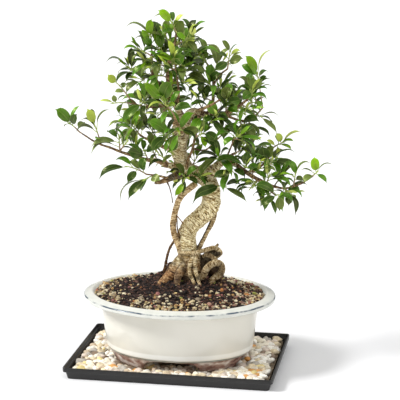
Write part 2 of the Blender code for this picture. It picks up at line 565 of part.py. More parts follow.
# Each spray: the limb's point that it grows from, its own tip, and its leaves. A leaf is where
# along the twig it grows, where its tip shows, its tip's depth against that of the twig there,
# how far its face is turned to the front, and its kind.
SPRAYS = {
    "far_left_tip": ((-128, 311, -25), (-139, 321, -27), (
        (0.9, -158, 340, -4, 0.9, "mid"), (0.75, -130, 334, -9, 0.8, "old"),
        (1.0, -126, 345, 4, 0.3, "young"), (0.5, -148, 316, 3, 0.0, "mid"), (0.2, -121, 322, 14, 0.3, "mid"),
    )),
    "far_left_upright": ((-100, 294, -22), (-108, 320, -25), (
        (1.0, -117, 341, -3, 0.7, "young"), (0.85, -111, 341, 9, 0.8, "old"),
        (0.75, -127, 325, 3, 0.1, "mid"), (0.55, -133, 309, -3, 0.05, "mid"),
        (0.65, -87, 340, 3, 0.1, "spear"), (0.3, -108, 302, -8, 0.6, "young"),
    )),
    "left_low_long": ((-76, 285, -19), (-77, 304, -24), (
        (0.55, -113, 291, -6, 0.35, "old"), (0.25, -114, 280, -12, 0.05, "mid"),
        (0.35, -55, 298, -3, 0.2, "mid"), (1.0, -75, 322, -2, 0.1, "young"),
        (0.75, -92, 310, 18, 0.3, "mid"),
    )),
    "left_low_round": ((-40, 274, -13), (-45, 286, -22), (
        (0.6, -67, 284, -8, 1.0, "old"), (1.0, -48, 301, -3, 0.3, "mid"), (0.8, -28, 291, -4, 0.5, "mid"),
        (0.4, -58, 271, -10, 0.3, "mid"),
    )),
    "left_hanging": ((-42, 255, -25), (-65, 265, -33), (
        (1.0, -104, 247, -6, 0.35, "mid"), (0.3, -64, 272, 6, 0.6, "mid"),
        (0.5, -67, 243, -8, 0.8, "mid"), (0.15, -42, 277, -3, 0.3, "old"), (0.75, -84, 272, 12, 0.2, "mid"),
    )),
    "left_drooping": ((-30, 253.6, -19), (-43, 249, -32), (
        (0.9, -66, 221, -8, 0.5, "mid"), (1.0, -76, 215, 3, 0.05, "mid"),
        (0.5, -24, 246, -12, 0.9, "mid"), (0.7, -50, 232, 10, 0.5, "old"),
    )),
    "left_middle": ((-50, 306, 25), (-59, 318, 22), (
        (0.9, -81, 322, -4, 0.3, "mid"), (1.0, -62, 330, -3, 0.7, "young"), (0.8, -50, 331, 4, 0.5, "young"),
        (0.65, -76, 302, -6, 0.15, "mid"), (0.3, -64, 305, -6, 0.6, "mid"), (0.15, -58, 296, 6, 0.5, "old"),
        (0.4, -36, 312, -4, 0.1, "old"),
    )),
    "left_big_dark": ((-38, 343, -12), (-47, 349, -22), (
        (0.85, -73, 322, -6, 0.75, "old"), (0.35, -61, 324, -16, 0.85, "mid"),
        (0.9, -26, 341, -8, 0.55, "old"), (1.0, -57, 364, 4, 0.8, "old"),
    )),
    "left_small_upper": ((-63, 354, -20), (-79, 374, -24), (
        (1.0, -90, 385, -2, 1.0, "round"), (0.7, -67, 374, -4, 0.8, "young"), (0.8, -64, 366, 6, 0.1, "old"),
        (0.35, -82, 362, -3, 0.6, "young"), (0.12, -78, 350, 2, 0.2, "mid"),
    )),
    "left_small_lower": ((-53, 346, -17), (-82, 348, -22), (
        (1.0, -102, 350, -2, 0.35, "young"), (0.93, -83, 359, -3, 0.9, "young"),
        (0.6, -76, 332, 14, 0.3, "mid"), (0.4, -62, 334, 8, 0.3, "mid"),
    )),
    "upper_left": ((-54, 386, 19), (-64, 393, 17), (
        (1.0, -94, 399, -4, 0.1, "mid"), (0.9, -59, 412, -2, 0.25, "young"), (0.7, -52, 404, 5, 0.3, "mid"),
        (0.4, -45, 376, -5, 0.3, "old"), (0.25, -67, 376, -8, 0.45, "mid"), (0.6, -78, 384, 12, 0.3, "mid"),
    )),
    "crown_left_low": ((-34, 399, 7), (-41, 402, -2), (
        (0.6, -57, 409, -4, 0.5, "old"), (1.0, -47, 391, -6, 0.8, "young"), (0.8, -37, 391, -9, 0.7, "young"),
        (0.9, -60, 398, 8, 0.3, "mid"),
    )),
    "crown_left": ((-34, 414, 6), (-35, 433, 3), (
        (0.2, -47, 430, -8, 0.8, "mid"), (0.35, -57, 429, 5, 0.1, "old"), (0.6, -47, 442, -5, 0.8, "mid"),
        (1.0, -34, 455, -5, 0.9, "mid"), (0.85, -26, 451, 13, 0.95, "old"), (0.9, -69, 443, 7, 0.1, "mid"),
        (0.5, -20, 430, -5, 0.4, "mid"),
    )),
    "crown_top": ((-3, 438, -6), (-8, 450, -8), (
        (1.0, -26, 466, -3, 0.9, "mid"), (0.6, 7, 461, -2, 0.35, "young"), (0.55, -33, 456, 6, 0.1, "old"),
        (0.9, -9, 464, 14, 0.4, "old"), (0.2, -22, 434, -6, 0.5, "mid"), (0.15, 8, 427, -8, 0.7, "mid"),
        (0.4, 14, 440, 12, 0.1, "old"),
    )),
    "crown_right": ((-7, 418, -4.5), (17, 433, -9), (
        (1.0, 18, 447, -4, 0.9, "young"), (0.97, 36, 451, -1, 0.3, "mid"), (0.9, 1, 455, 8, 0.1, "mid"),
        (0.8, 29, 428, -5, 0.1, "young"), (0.5, 9, 433, -8, 0.7, "young"), (0.6, 22, 411, -4, 0.4, "mid"),
        (0.3, -9, 403, -8, 0.5, "mid"),
    )),
    "top_middle": ((-14, 394, -3), (18, 405, 8), (
        (1.0, 42, 417, 6, 0.1, "old"), (0.95, 52, 411, -6, 0.25, "mid"), (0.85, 46, 402, 10, 0.15, "old"),
        (0.7, 13, 420, -4, 0.6, "mid"), (0.45, 17, 391, -4, 0.5, "old"), (0.3, -8, 411, 5, 0.4, "mid"),
    )),
    "crown_front": ((-4, 391, -16), (-6, 403, -22), (
        (0.5, 7, 409, -6, 0.9, "old"), (0.8, -28, 408, -4, 0.6, "mid"), (1.0, 12, 410, 6, 0.2, "young"),
        (0.3, -19, 388, -5, 0.4, "old"), (1.0, -14, 428, -3, 0.5, "mid"), (0.15, 9, 388, -9, 0.6, "mid"),
    )),
    "right_up_arching": ((38, 396, 20), (32, 404, 18), (
        (1.0, 25, 413, -3, 0.3, "young"), (0.5, 12, 394, -6, 0.3, "old"), (0.3, 45, 380, -10, 0.5, "old"),
        (0.7, 47, 405, 5, 0.4, "mid"), (0.85, 24, 398, 16, 0.3, "mid"),
    )),
    "right_middle_dark": ((44, 362, 8), (39, 374, -2), (
        (0.75, 3, 370, -5, 0.45, "old"), (0.5, 12, 363, -9, 0.3, "old"), (1.0, 10, 383, 3, 0.5, "old"),
        (0.9, 54, 385, -8, 0.6, "old"), (0.3, 22, 350, 6, 0.3, "mid"),
    )),
    "right_middle_olive": ((44, 359, 6.5), (52, 365, -6), (
        (1.0, 77, 366, -5, 0.5, "mid"), (0.9, 69, 378, 3, 0.3, "young"), (0.6, 62, 353, -8, 0.6, "mid"),
        (0.7, 33, 358, -10, 0.3, "old"),
    )),
    "right_top": ((62, 392, 1), (65, 413, -2), (
        (1.0, 54, 428, -3, 0.7, "mid"), (0.97, 76, 424, 0, 0.15, "young"), (0.45, 45, 389, -6, 0.9, "old"),
        (0.55, 48, 409, 5, 0.3, "mid"), (0.35, 83, 411, 6, 0.1, "spear"), (0.2, 82, 405, -6, 0.8, "mid"),
        (0.7, 79, 414, 12, 0.4, "mid"),
    )),
    "far_right_upper": ((107, 342, 26), (100, 384, 20), (
        (1.0, 84, 409, -4, 0.8, "mid"), (0.98, 121, 417, 2, 0.1, "spear"), (0.93, 79, 397, 6, 0.7, "old"),
        (0.96, 89, 397, -12, 0.7, "young"), (0.8, 112, 383, -10, 0.9, "mid"), (0.88, 114, 388, 8, 0.1, "old"),
        (0.55, 119, 369, 3, 0.1, "young"), (0.4, 93, 355, -4, 0.7, "young"), (0.2, 99, 343, -8, 0.8, "mid"),
        (0.7, 86, 375, 6, 0.3, "old"),
    )),
    "right_end_olive": ((88, 353, -15), (94, 362, -17), (
        (1.0, 82, 351, -9, 0.7, "mid"), (0.7, 74, 367, 2, 0.2, "old"), (0.95, 75, 381, 4, 0.3, "mid"),
        (0.6, 113, 352, -3, 0.3, "mid"), (0.85, 112, 374, 8, 0.2, "young"),
    )),
    "right_dark_round": ((60, 335, -9), (61, 350, -18), (
        (0.9, 80, 351, -6, 0.8, "old"), (0.6, 48, 360, -2, 0.4, "mid"), (1.0, 65, 368, 2, 0.3, "old"),
        (0.4, 77, 335, -10, 0.7, "old"),
    )),
    "front_right_bright": ((41, 334, -7.3), (48, 330, -22), (
        (0.9, 38, 351, -5, 1.0, "mid"), (1.0, 73, 347, -3, 0.15, "young"), (0.7, 30, 322, -5, 0.4, "young"),
        (0.5, 64, 317, -2, 0.3, "old"),
    )),
    "right_back_olive": ((97, 331, 21), (104, 331, 17), (
        (1.0, 126, 308, -6, 0.6, "mid"), (0.8, 130, 327, 4, 0.1, "mid"), (0.5, 119, 317, 8, 0.15, "old"),
        (0.3, 76, 337, -8, 0.5, "old"),
    )),
    "right_hanging_dark": ((78, 325.5, 10), (80, 317, 3), (
        (0.8, 99, 303, -6, 0.8, "mid"), (0.5, 103, 324, -7, 0.5, "old"), (0.9, 62, 310, -5, 0.4, "old"),
        (1.0, 80, 300, 5, 0.4, "young"),
    )),
    "middle_hanging": ((26, 333, -6), (40, 324, -18), (
        (1.0, 57, 301, -5, 0.6, "old"), (0.8, 65, 323, 4, 0.35, "old"), (0.7, 33, 311, -8, 0.4, "mid"),
        (0.5, 47, 312, 8, 0.3, "mid"),
    )),
    "middle_low": ((20.3, 303, -11), (30, 308, -19), (
        (1.0, 49, 295, -4, 0.7, "old"), (0.7, 34, 290, -3, 0.4, "young"), (0.9, 44, 318, 5, 0.3, "young"),
    )),
    "right_low_dark": ((71, 302, -24), (76, 305, -30), (
        (1.0, 107, 298, -5, 0.5, "old"), (0.7, 99, 286, -3, 0.3, "old"), (0.5, 60, 316, 3, 0.2, "old"),
        (0.8, 96, 315, 8, 0.3, "mid"), (0.3, 58, 291, -5, 0.4, "mid"),
    )),
    "right_lime": ((121, 290, 14), (132, 296, 9), (
        (0.95, 124, 309, -4, 0.6, "young"), (1.0, 157, 311, -2, 0.3, "young"), (0.8, 148, 298, -5, 0.3, "young"),
        (0.3, 112, 300, -3, 0.6, "young"), (0.45, 127, 278, -5, 0.5, "young"), (0.65, 145, 287, -8, 0.3, "young"),
        (0.6, 124, 305, 16, 0.2, "mid"),
    )),
    "right_cluster": ((110, 270, 3), (119, 272, -10), (
        (0.2, 107, 292, -8, 1.0, "old"), (1.0, 152, 261, -5, 0.6, "mid"), (0.85, 153, 281, 2, 0.1, "mid"),
        (0.6, 131, 258, -6, 0.3, "mid"), (0.4, 103, 272, -10, 0.4, "young"),
    )),
    "far_right_tip": ((172, 252, -30), (177, 257, -31), (
        (1.0, 174, 278, -3, 0.9, "mid"), (0.95, 200, 266, 2, 0.1, "mid"), (0.8, 191, 243, -4, 0.5, "mid"),
        (0.4, 161, 244, -5, 0.4, "young"), (0.7, 156, 260, 4, 0.1, "young"),
    )),
    "far_right_upright": ((148, 239, -28), (150, 254, -26), (
        (1.0, 171, 269, 3, 0.1, "mid"), (0.5, 161, 245, 8, 0.5, "old"), (0.8, 128, 253, -4, 0.4, "old"),
        (0.9, 141, 272, 6, 0.3, "mid"),
    )),
    "lower_right_arch": ((57, 271, -13), (52, 277, -24), (
        (1.0, 27, 250, -5, 0.4, "mid"), (0.6, 34, 266, 4, 0.3, "old"), (0.8, 66, 287, -4, 0.2, "old"),
        (0.9, 38, 289, 8, 0.3, "mid"),
    )),
    "lower_right_long": ((83, 261, -20.5), (87, 264, -31), (
        (0.9, 45, 269, -6, 0.35, "old"), (0.6, 67, 276, 6, 0.1, "old"), (1.0, 90, 286, -2, 0.45, "old"),
        (0.5, 104, 263, -8, 0.5, "mid"),
    )),
    "lower_right_under": ((69, 270, -17), (68, 257, -26), (
        (1.0, 44, 250, -5, 0.7, "old"), (0.6, 85, 251, -4, 0.4, "old"), (0.8, 73, 241, 6, 0.4, "mid"),
    )),
    "trunk_front": ((43, 238, -5), (58, 239, -22), (
        (0.9, 59, 254, -3, 0.9, "young"), (1.0, 80, 241, -1, 0.15, "young"), (0.85, 88, 217, -6, 0.4, "mid"),
        (0.5, 17, 217, -14, 0.9, "old"),
    )),
    "lower_right_dark": ((103, 248, -24), (97, 240, -35), (
        (0.7, 79, 245, -5, 0.8, "old"), (1.0, 72, 229, -3, 0.15, "old"), (0.85, 110, 225, -4, 0.5, "mid"),
    )),
    "lower_right_droop": ((125, 227, -40), (128, 228, -46), (
        (0.3, 97, 240, -1, 0.6, "old"), (0.7, 105, 212, -4, 0.6, "mid"), (1.0, 130, 206, -3, 0.9, "mid"),
        (0.9, 147, 216, 6, 0.5, "mid"),
    )),
    "lower_right_hang": ((136, 236.5, -27), (139, 230, -33), (
        (1.0, 142, 213, -4, 0.8, "old"), (0.6, 157, 230, 4, 0.5, "old"), (0.4, 124, 250, -5, 0.4, "young"),
    )),
    "lower_right_inner": ((113, 243, -25), (117, 253, -29), (
        (1.0, 129, 258, -4, 0.7, "young"), (0.6, 97, 257, -6, 0.6, "old"), (0.8, 138, 246, 3, 0.3, "old"),
    )),
    "front_middle": ((-7, 334, -64), (-20, 350, -69), (
        (1.0, -45, 373, -5, 0.9, "mid"), (0.93, -9, 375, -4, 0.9, "mid"), (0.6, -4, 345, -6, 0.8, "young"),
        (0.5, -40, 340, -4, 0.15, "mid"), (0.15, 17, 341, -4, 0.5, "mid"), (0.3, -22, 321, 4, 0.4, "mid"),
    )),
    "front_middle_low": ((0, 317, -36), (1, 310, -46), (
        (0.9, 20, 335, -6, 0.6, "mid"), (0.6, 27, 312, 3, 0.9, "old"), (1.0, -10, 283, -3, 0.7, "old"),
        (0.4, -17, 335, -7, 0.4, "mid"),
    )),
    "front_left_low": ((2, 313, -27), (-14, 304, -32), (
        (0.9, -41, 323, -5, 0.8, "mid"), (1.0, -34, 284, -5, 0.7, "old"), (0.6, -8, 288, -10, 0.4, "mid"),
    )),
    "trunk_low_front": ((12, 259, 1), (6, 247, -20), (
        (1.0, -6, 226, -4, 0.8, "young"), (0.8, 24, 240, -5, 0.4, "mid"), (0.7, -6, 268, -4, 0.4, "mid"),
        (0.6, 24, 262, -8, 0.5, "mid"),
    )),
}

# At the back the sprays follow a rule: tip of the limb, the twig's end and how many leaves.
BACK_SPRAYS = {
    "back_left": ((-44, 303, 56), (-70, 318, 74), 8),
    "back_middle": ((-8, 330, 56), (-20, 352, 80), 8),
    "back_right": ((50, 338, 56), (76, 352, 72), 8),
    "back_upper": ((4, 398, 48), (14, 420, 62), 7),
    "back_low_right": ((74, 284, 56), (100, 292, 72), 8),
}


def wood_route(rows):
    return [(seen(x, z, depth), radius * MM) for x, z, depth, radius in rows]


def wood_sides(rows):
    thickest = max(row[3] for row in rows)
    if thickest > 10:
        return 12
    return 6 if thickest > 2.9 else 4


def clearance(point, route):
    """How far a point lies outside one tapered tube with flat ends."""
    nearest = math.inf
    for (start, radius_a), (end, radius_b) in zip(route, route[1:]):
        along = end - start
        share = (point - start).dot(along) / along.length_squared
        inside = min(max(share, 0), 1)
        foot = start + along * inside
        beyond = (share - inside) * along.length
        across = (point - foot - along.normalized() * beyond).length
        radius = radius_a + (radius_b - radius_a) * inside
        nearest = min(nearest, math.hypot(beyond, max(across - radius, 0)))
    return nearest


def twig_route(anchor, tip, wood):
    """A slightly bowed twig that starts just clear of the wood at its anchor."""
    heading = (tip - anchor).normalized()
    start = anchor.copy()
    across = heading.orthogonal().normalized() * TWIG_RADIUS
    ring = [Matrix.Rotation(math.pi / 2 * i, 3, heading) @ across for i in range(4)]
    near = [route for route in wood if clearance(anchor, route) < 12 * MM]
    step = 0.1 * MM
    for _ in range(200):
        if all(clearance(start + offset, route) > GAP for offset in ring for route in near):
            break
        start += heading * step
    bow = Vector((0, 0, 0.05)) * (tip - start).length
    return [
        (start, TWIG_RADIUS),
        (start.lerp(tip, 0.5) + bow, 0.85 * TWIG_RADIUS),
        (tip, 0.7 * TWIG_RADIUS),
        (tip + (tip - start - bow).normalized() * 3 * MM, 0.15 * TWIG_RADIUS),
    ]


def along_route(route, share):
    """The point at this share of the way from the twig's base to its tip."""
    ends = [point for point, _ in route[:3]]
    first = (ends[1] - ends[0]).length
    second = (ends[2] - ends[1]).length
    way = share * (first + second)
    if way < first:
        return ends[0].lerp(ends[1], way / first)
    return ends[1].lerp(ends[2], (way - first) / second)


def leaf_frame(root, tip, facing):
    """The leaf's length, its axis, its side and the way its upper face looks."""
    chord = tip - root
    axis = chord.normalized()
    look = Vector((0, 0, 1)).lerp(FRONT, facing)
    upper = look - axis * look.dot(axis)
    if upper.length < 0.1:
        upper = FRONT - axis * FRONT.dot(axis)
    upper.normalize()
    return chord.length, axis, axis.cross(upper), upper


def leaf_solid(root, tip, facing, kind):
    """The points and triangles of one leaf: a thin folded blade, bowed, from a narrow root to its tip."""
    share, bow = LEAF_KINDS[kind]
    length, axis, side, upper = leaf_frame(root, tip, facing)
    width = min(length * share, MOST_LEAF_WIDTH) / 2
    points = []
    for across, above in ((-0.9, 0.5), (0.9, 0.5), (0, -1)):
        points.append(root + (side * across + upper * above) * PETIOLE_RADIUS)
    stations = LONG_STATIONS if length > LONG_LEAF else SHORT_STATIONS
    for way, swell in stations:
        middle = root + axis * length * way + upper * bow * length * 4 * way * (1 - way)
        edge = side * width * swell
        lift = upper * width * swell * BLADE_FOLD
        skin = upper * LEAF_HALF_THICKNESS
        points += [middle - edge + lift + skin, middle + skin, middle + edge + lift + skin]
        points += [middle + edge + lift - skin, middle - skin, middle - edge + lift - skin]
    points.append(tip.copy())
    faces = [(0, 2, 1), (0, 8, 3), (0, 3, 4), (0, 4, 1), (1, 4, 5), (1, 5, 6), (1, 6, 2), (2, 6, 7), (2, 7, 8)]
    faces.append((2, 8, 0))
    near = 3
    if len(stations) == 2:
        far = 9
        faces += [(near, near + 1, far), (near + 1, far + 1, far)]
        faces += [(near + 1, near + 2, far + 2), (near + 1, far + 2, far + 1)]
        faces += [(near + 2, near + 3, far + 3), (near + 2, far + 3, far + 2)]
        faces += [(near + 4, far + 3, near + 3), (near + 4, far + 4, far + 3)]
        faces += [(near + 5, far + 5, near + 4), (near + 4, far + 5, far + 4)]
        faces += [(near + 5, near, far), (near + 5, far, far + 5)]
        near = far
    last = len(points) - 1
    faces += [(near + i, near + (i + 1) % 6, last) for i in range(6)]
    return points, faces


class Crowd:
    """Every solid that a new leaf has to stay clear of."""

    def __init__(self):
        self.members = []

    def add(self, owner, points, faces):
        low = Vector([min(p[i] for p in points) for i in range(3)])
        high = Vector([max(p[i] for p in points) for i in range(3)])
        self.members.append((owner, low, high, BVHTree.FromPolygons(points, faces)))

    def crosses(self, points, faces, spared):
        low = [min(p[i] for p in points) for i in range(3)]
        high = [max(p[i] for p in points) for i in range(3)]
        tree = None
        for owner, other_low, other_high, other in self.members:
            if owner in spared:
                continue
            if any(high[i] < other_low[i] or low[i] > other_high[i] for i in range(3)):
                continue
            tree = tree or BVHTree.FromPolygons(points, faces)
            if tree.overlap(other):
                return True
        return False


# Nudges tried in turn for a leaf that would touch another: depth in mm, then turn of its face.
NUDGES = [(depth, turn) for turn in (0, 0.3, -0.3) for depth in (0, -5, 5, -10, 10, -16, 16, -22, 22)]


def fitted_leaf(crowd, owner, root, tip, facing, kind):
    """The leaf at its place, or nudged in depth or turned until it clears its neighbours."""
    crossing_own = None
    for depth, turn in NUDGES:
        place = tip - FRONT * depth * MM
        points, faces = leaf_solid(root, place, min(max(facing + turn, 0), 1), kind)
        grown = thickened(points)
        if crowd.crosses(grown, faces, (owner, owner + " twig")):
            continue
        own = [member for member in crowd.members if member[0] in (owner, owner + " twig")]
        blade = BVHTree.FromPolygons(grown, faces[10:])
        if not any(blade.overlap(member[3]) for member in own):
            return points, faces
        crossing_own = crossing_own or (points, faces)
    return crossing_own


def thickened(points):
    """The leaf's points with its blade made thicker and wider by the gap that it must keep."""
    grown = list(points)
    for first in range(3, len(points) - 1, 6):
        skin = (points[first + 1] - points[first + 4]).normalized() * GAP
        edge = (points[first + 2] - points[first]).normalized() * GAP
        for index, across, above in ((0, -1, 1), (1, 0, 1), (2, 1, 1), (3, 1, -1), (4, 0, -1), (5, -1, -1)):
            grown[first + index] = points[first + index] + edge * across + skin * above
    return grown


def rule_leaves(route, count, draws):
    """Leaves set alternately round a twig, leaning out from it and arching down."""
    base = route[0][0]
    heading = (route[2][0] - base).normalized()
    out = heading.orthogonal().normalized()
    leaves = []
    for index in range(count):
        share = 0.2 + 0.8 * index / (count - 1)
        angle = math.radians(140) * index + draws.uniform(-0.3, 0.3)
        lean = math.radians(62 - 30 * share)
        across = Matrix.Rotation(angle, 3, heading) @ out
        way = heading * math.cos(lean) + across * math.sin(lean) + Vector((0, 0, -0.25))
        length = draws.uniform(26, 40) * MM if index < count - 2 else draws.uniform(17, 22) * MM
        root = along_route(route, share)
        kind = "old" if share < 0.5 else "mid"
        if index >= count - 2:
            kind = "young"
        leaves.append((root, root + way.normalized() * length, draws.uniform(0.0, 0.4), kind))
    return leaves


def front_leaves(anchor, end, route, rows):
    leaves = []
    for share, x, z, depth, facing, kind in rows:
        behind = anchor[2] + (end[2] - anchor[2]) * share + depth
        leaves.append((along_route(route, share), seen(x, z, behind), facing, kind))
    return leaves


def mesh_data(made):
    made.data.calc_loop_triangles()
    points = [made.matrix_world @ vertex.co for vertex in made.data.vertices]
    return points, [tuple(face.vertices) for face in made.data.loop_triangles]


def gnarled(made):
    """The trunk's knobs and hollows, moved along each point's own normal."""
    swell = 1.3 * MM
    grain = 70
    for vertex in made.data.vertices:
        vertex.co += vertex.normal * swell * noise.noise(vertex.co * grain)
    return made


def make_tree(crowd):
    pieces = []
    trunk = gnarled(tube("tree", wood_route(TRUNK), 12, PARTS))
    for name, rows in list(LIMBS.items()) + list(ROOTS.items()):
        pieces.append(tube(name, wood_route(rows), wood_sides(rows), CUTTERS))
    for piece in [trunk] + pieces:
        crowd.add("wood", *mesh_data(piece))
    tree = simplified(combined(trunk, pieces, "UNION"), 2 * JOINT_WELD)
    return finished(tree, material("bark", (0.36, 0.29, 0.19), 0.85), 50)


def make_sprays(crowd):
    wood = [wood_route(rows) for rows in [TRUNK] + list(LIMBS.values()) + list(ROOTS.values())]
    draws = random.Random(7)
    plans = {}
    for name, (anchor, end, rows) in SPRAYS.items():
        route = twig_route(seen(*anchor), seen(*end), wood)
        plans[name] = (route, front_leaves(anchor, end, route, rows))
    for name, (anchor, end, count) in BACK_SPRAYS.items():
        route = twig_route(seen(*anchor), seen(*end), wood)
        plans[name] = (route, rule_leaves(route, count, draws))
    twigs = {}
    for name, (route, _) in plans.items():
        twigs[name] = tube("spray_" + name, route, 4, PARTS)
        points, faces = mesh_data(twigs[name])
        if crowd.crosses(points, faces, ()):
            print("twig crosses:", name)
        crowd.add(name + " twig", points, faces)
    green = material("leaf green", (0.045, 0.16, 0.025), 0.35)
    kept = 0
    for name, (route, leaves) in plans.items():
        blades = []
        for root, tip, facing, kind in leaves:
            fit = fitted_leaf(crowd, name, root, tip, facing, kind)
            if fit is None:
                print("left out a leaf of", name)
                continue
            crowd.add(name, *fit)
            blades.append(from_faces("leaf", *fit, CUTTERS))
        kept += len(blades)
        spray = simplified(combined(twigs[name], blades, "UNION", "MANIFOLD"), JOINT_WELD)
        spray = without_crumbs(spray)
        finished(spray, green, 30)
    print(kept, "leaves")


# The soil: a crumbly mound to the pot's rim, with plain holes where the trunk and roots go in

SOIL_EDGE = 96.6 * MM
SOIL_RISE = 14 * MM
SOIL_RADIUS = 111.2 * MM
SOIL_RINGS = 6


def make_soil():
    top = []
    for ring in range(SOIL_RINGS + 1):
        share = ring / SOIL_RINGS
        top.append((SOIL_RADIUS * share, SOIL_EDGE + SOIL_RISE * (1 - share**1.5)))
    sides = [
        (101.6 * MM, 89.1 * MM),
        (97.1 * MM, 80 * MM),
        (90.6 * MM, POT_FLOOR + 5 * MM),
        (85.7 * MM, POT_FLOOR + GAP),
        (0, POT_FLOOR + GAP),
    ]
    soil = make_oval(turned("soil", top + sides, POT_STEPS, PARTS))
    crumb = 1.6 * MM
    for vertex in soil.data.vertices:
        radius = math.hypot(vertex.co.x, vertex.co.y * POT_LENGTH / POT_WIDTH)
        if vertex.co.z > SOIL_EDGE - 1 * MM and radius < SOIL_RADIUS - 6 * MM:
            vertex.co.z += crumb * noise.noise(vertex.co * 160)
            vertex.co.x += crumb * noise.noise(vertex.co * 120 + Vector((9, 0, 0)))
    form = bmesh.new()
    form.from_mesh(soil.data)
    bmesh.ops.triangulate(form, faces=form.faces)
    form.to_mesh(soil.data)
    form.free()
    holes = []
    for name, rows in [("trunk", TRUNK[::-1])] + list(ROOTS.items()):
        if rows[-1][1] < 112:
            route = wood_route(rows)
            low = route[-1][0]
            further = low + (low - route[-2][0]).normalized() * 3 * GAP
            route[-1] = (further, route[-1][1])
            if name == "trunk":
                route.reverse()
            room = 1.5 * MM if name == "trunk" else 0.45 * MM
            holes.append(tube(name, route, wood_sides(rows), CUTTERS, room))
    for side in (-1, 1):
        height = WIRE_TOP + WIRE_RADIUS + GAP - POT_FLOOR
        size = (SCREEN_SIDE + 2 * GAP, SCREEN_SIDE + 2 * GAP, 2 * height)
        centre = (side * DRAIN_HOLE_OFFSET, 0, POT_FLOOR)
        holes.append(box("screen room", size, centre, CUTTERS))
    soil = without_crumbs(combined(soil, holes, "DIFFERENCE", "MANIFOLD"))
    return finished(soil, material("bark soil", (0.05, 0.033, 0.022), 0.95), 10)


# The pebble bed: rounded stones a size larger than life, with flat seats under the pot's feet

PEBBLE_PITCH = 20 * MM
PEBBLE_LOW = 8.5 * MM
PEBBLE_HIGH = 4.5 * MM


def make_pebbles():
    draws = random.Random(4)
    form = bmesh.new()
    row_step = PEBBLE_PITCH * math.sqrt(3) / 2
    corner_reach = PEBBLE_PITCH / math.sqrt(3)
    corners = {}
    rows = int(TRAY_WIDTH / 2 / row_step) + 2
    columns = int(TRAY_LENGTH / 2 / PEBBLE_PITCH) + 2
    stones = []
    for row in range(-rows, rows + 1):
        for column in range(-columns, columns + 1):
            x = (column + 0.5 * (row % 2)) * PEBBLE_PITCH
            y = row * row_step
            ring = []
            for turn in range(6):
                angle = math.radians(30 + 60 * turn)
                corner = (x + corner_reach * math.cos(angle), y + corner_reach * math.sin(angle))
                key = (round(2 * corner[0] / PEBBLE_PITCH), round(2 * corner[1] / corner_reach))
                if key not in corners:
                    shake = [draws.uniform(-0.15, 0.15) * PEBBLE_PITCH for _ in range(2)]
                    place = (corner[0] + shake[0], corner[1] + shake[1], PEBBLE_LOW)
                    corners[key] = form.verts.new(place)
                ring.append(corners[key])
            stones.append(form.faces.new(ring))
    under = []
    for face in stones:
        middle = face.calc_center_median()
        if math.hypot(middle.x / FOOT_INNER, middle.y / (FOOT_INNER - OVAL_DROP)) < 1:
            under.append(face)
    shown = [face for face in stones if face not in under]
    for top in bmesh.ops.poke(form, faces=shown)["verts"]:
        shake = [draws.uniform(-0.12, 0.12) * PEBBLE_PITCH for _ in range(2)]
        top.co += Vector((*shake, draws.uniform(0.75, 1.25) * PEBBLE_HIGH))
    side_gap = 5 * MM + TRAY_WALL + GAP + 0.3 * MM
    reach_x = TRAY_LENGTH / 2 - side_gap
    reach_y = TRAY_WIDTH / 2 - side_gap
    for x, y in ((1, 0), (0, 1), (1, 1)):
        for across, along in ((1, 1), (-1, 1), (1, -1), (-1, -1)):
            way = Vector((x * across, y * along, 0)).normalized()
            corner = Vector((reach_x * across, reach_y * along, 0))
            place = corner - way * 2.2 * MM * x * y
            everything = form.verts[:] + form.edges[:] + form.faces[:]
            bmesh.ops.bisect_plane(form, geom=everything, plane_co=place, plane_no=way, clear_outer=True)
    edge = [item for item in form.edges if item.is_boundary]
    made = bmesh.ops.extrude_edge_only(form, edges=edge)["geom"]
    for vertex in [item for item in made if isinstance(item, bmesh.types.BMVert)]:
        vertex.co.z = TRAY_WALL + GAP
    bmesh.ops.holes_fill(form, edges=[item for item in form.edges if item.is_boundary], sides=0)
    bmesh.ops.recalc_face_normals(form, faces=form.faces)
    mesh = bpy.data.meshes.new("pebbles")
    form.to_mesh(mesh)
    form.free()
    bed = link_mesh("pebbles", mesh, PARTS)
    bed = combined(bed, [make_feet(GAP + 0.1 * MM)], "DIFFERENCE", "MANIFOLD")
    return finished(bed, material("river pebbles", (0.62, 0.52, 0.36), 0.6), 60)


def build():
    crowd = Crowd()
    make_tray()
    make_pebbles()
    make_pot()
    for name, side in (("left", -1), ("right", 1)):
        make_screen("drain_screen_" + name, side * DRAIN_HOLE_OFFSET)
        make_clip("screen_clip_" + name, side * DRAIN_HOLE_OFFSET)
    make_soil()
    make_tree(crowd)
    make_sprays(crowd)
    CUTTERS.hide_render = True


build()
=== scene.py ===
import math
import random

import bmesh
import bpy
import numpy as np
from mathutils import Matrix, Vector, noise


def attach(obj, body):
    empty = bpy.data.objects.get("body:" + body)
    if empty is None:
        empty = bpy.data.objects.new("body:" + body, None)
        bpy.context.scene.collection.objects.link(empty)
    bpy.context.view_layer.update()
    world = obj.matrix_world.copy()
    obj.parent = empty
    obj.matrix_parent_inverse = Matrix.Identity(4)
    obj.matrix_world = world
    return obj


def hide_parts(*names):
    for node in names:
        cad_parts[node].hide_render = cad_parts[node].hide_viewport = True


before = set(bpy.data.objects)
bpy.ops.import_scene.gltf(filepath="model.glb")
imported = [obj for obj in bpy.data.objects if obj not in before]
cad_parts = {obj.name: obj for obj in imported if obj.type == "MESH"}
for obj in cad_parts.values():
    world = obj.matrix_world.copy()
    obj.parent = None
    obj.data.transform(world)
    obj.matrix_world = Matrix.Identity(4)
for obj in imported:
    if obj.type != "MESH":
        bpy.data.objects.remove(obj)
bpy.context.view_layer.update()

MM = 0.001
scene = bpy.context.scene
scene.view_settings.view_transform = "Standard"


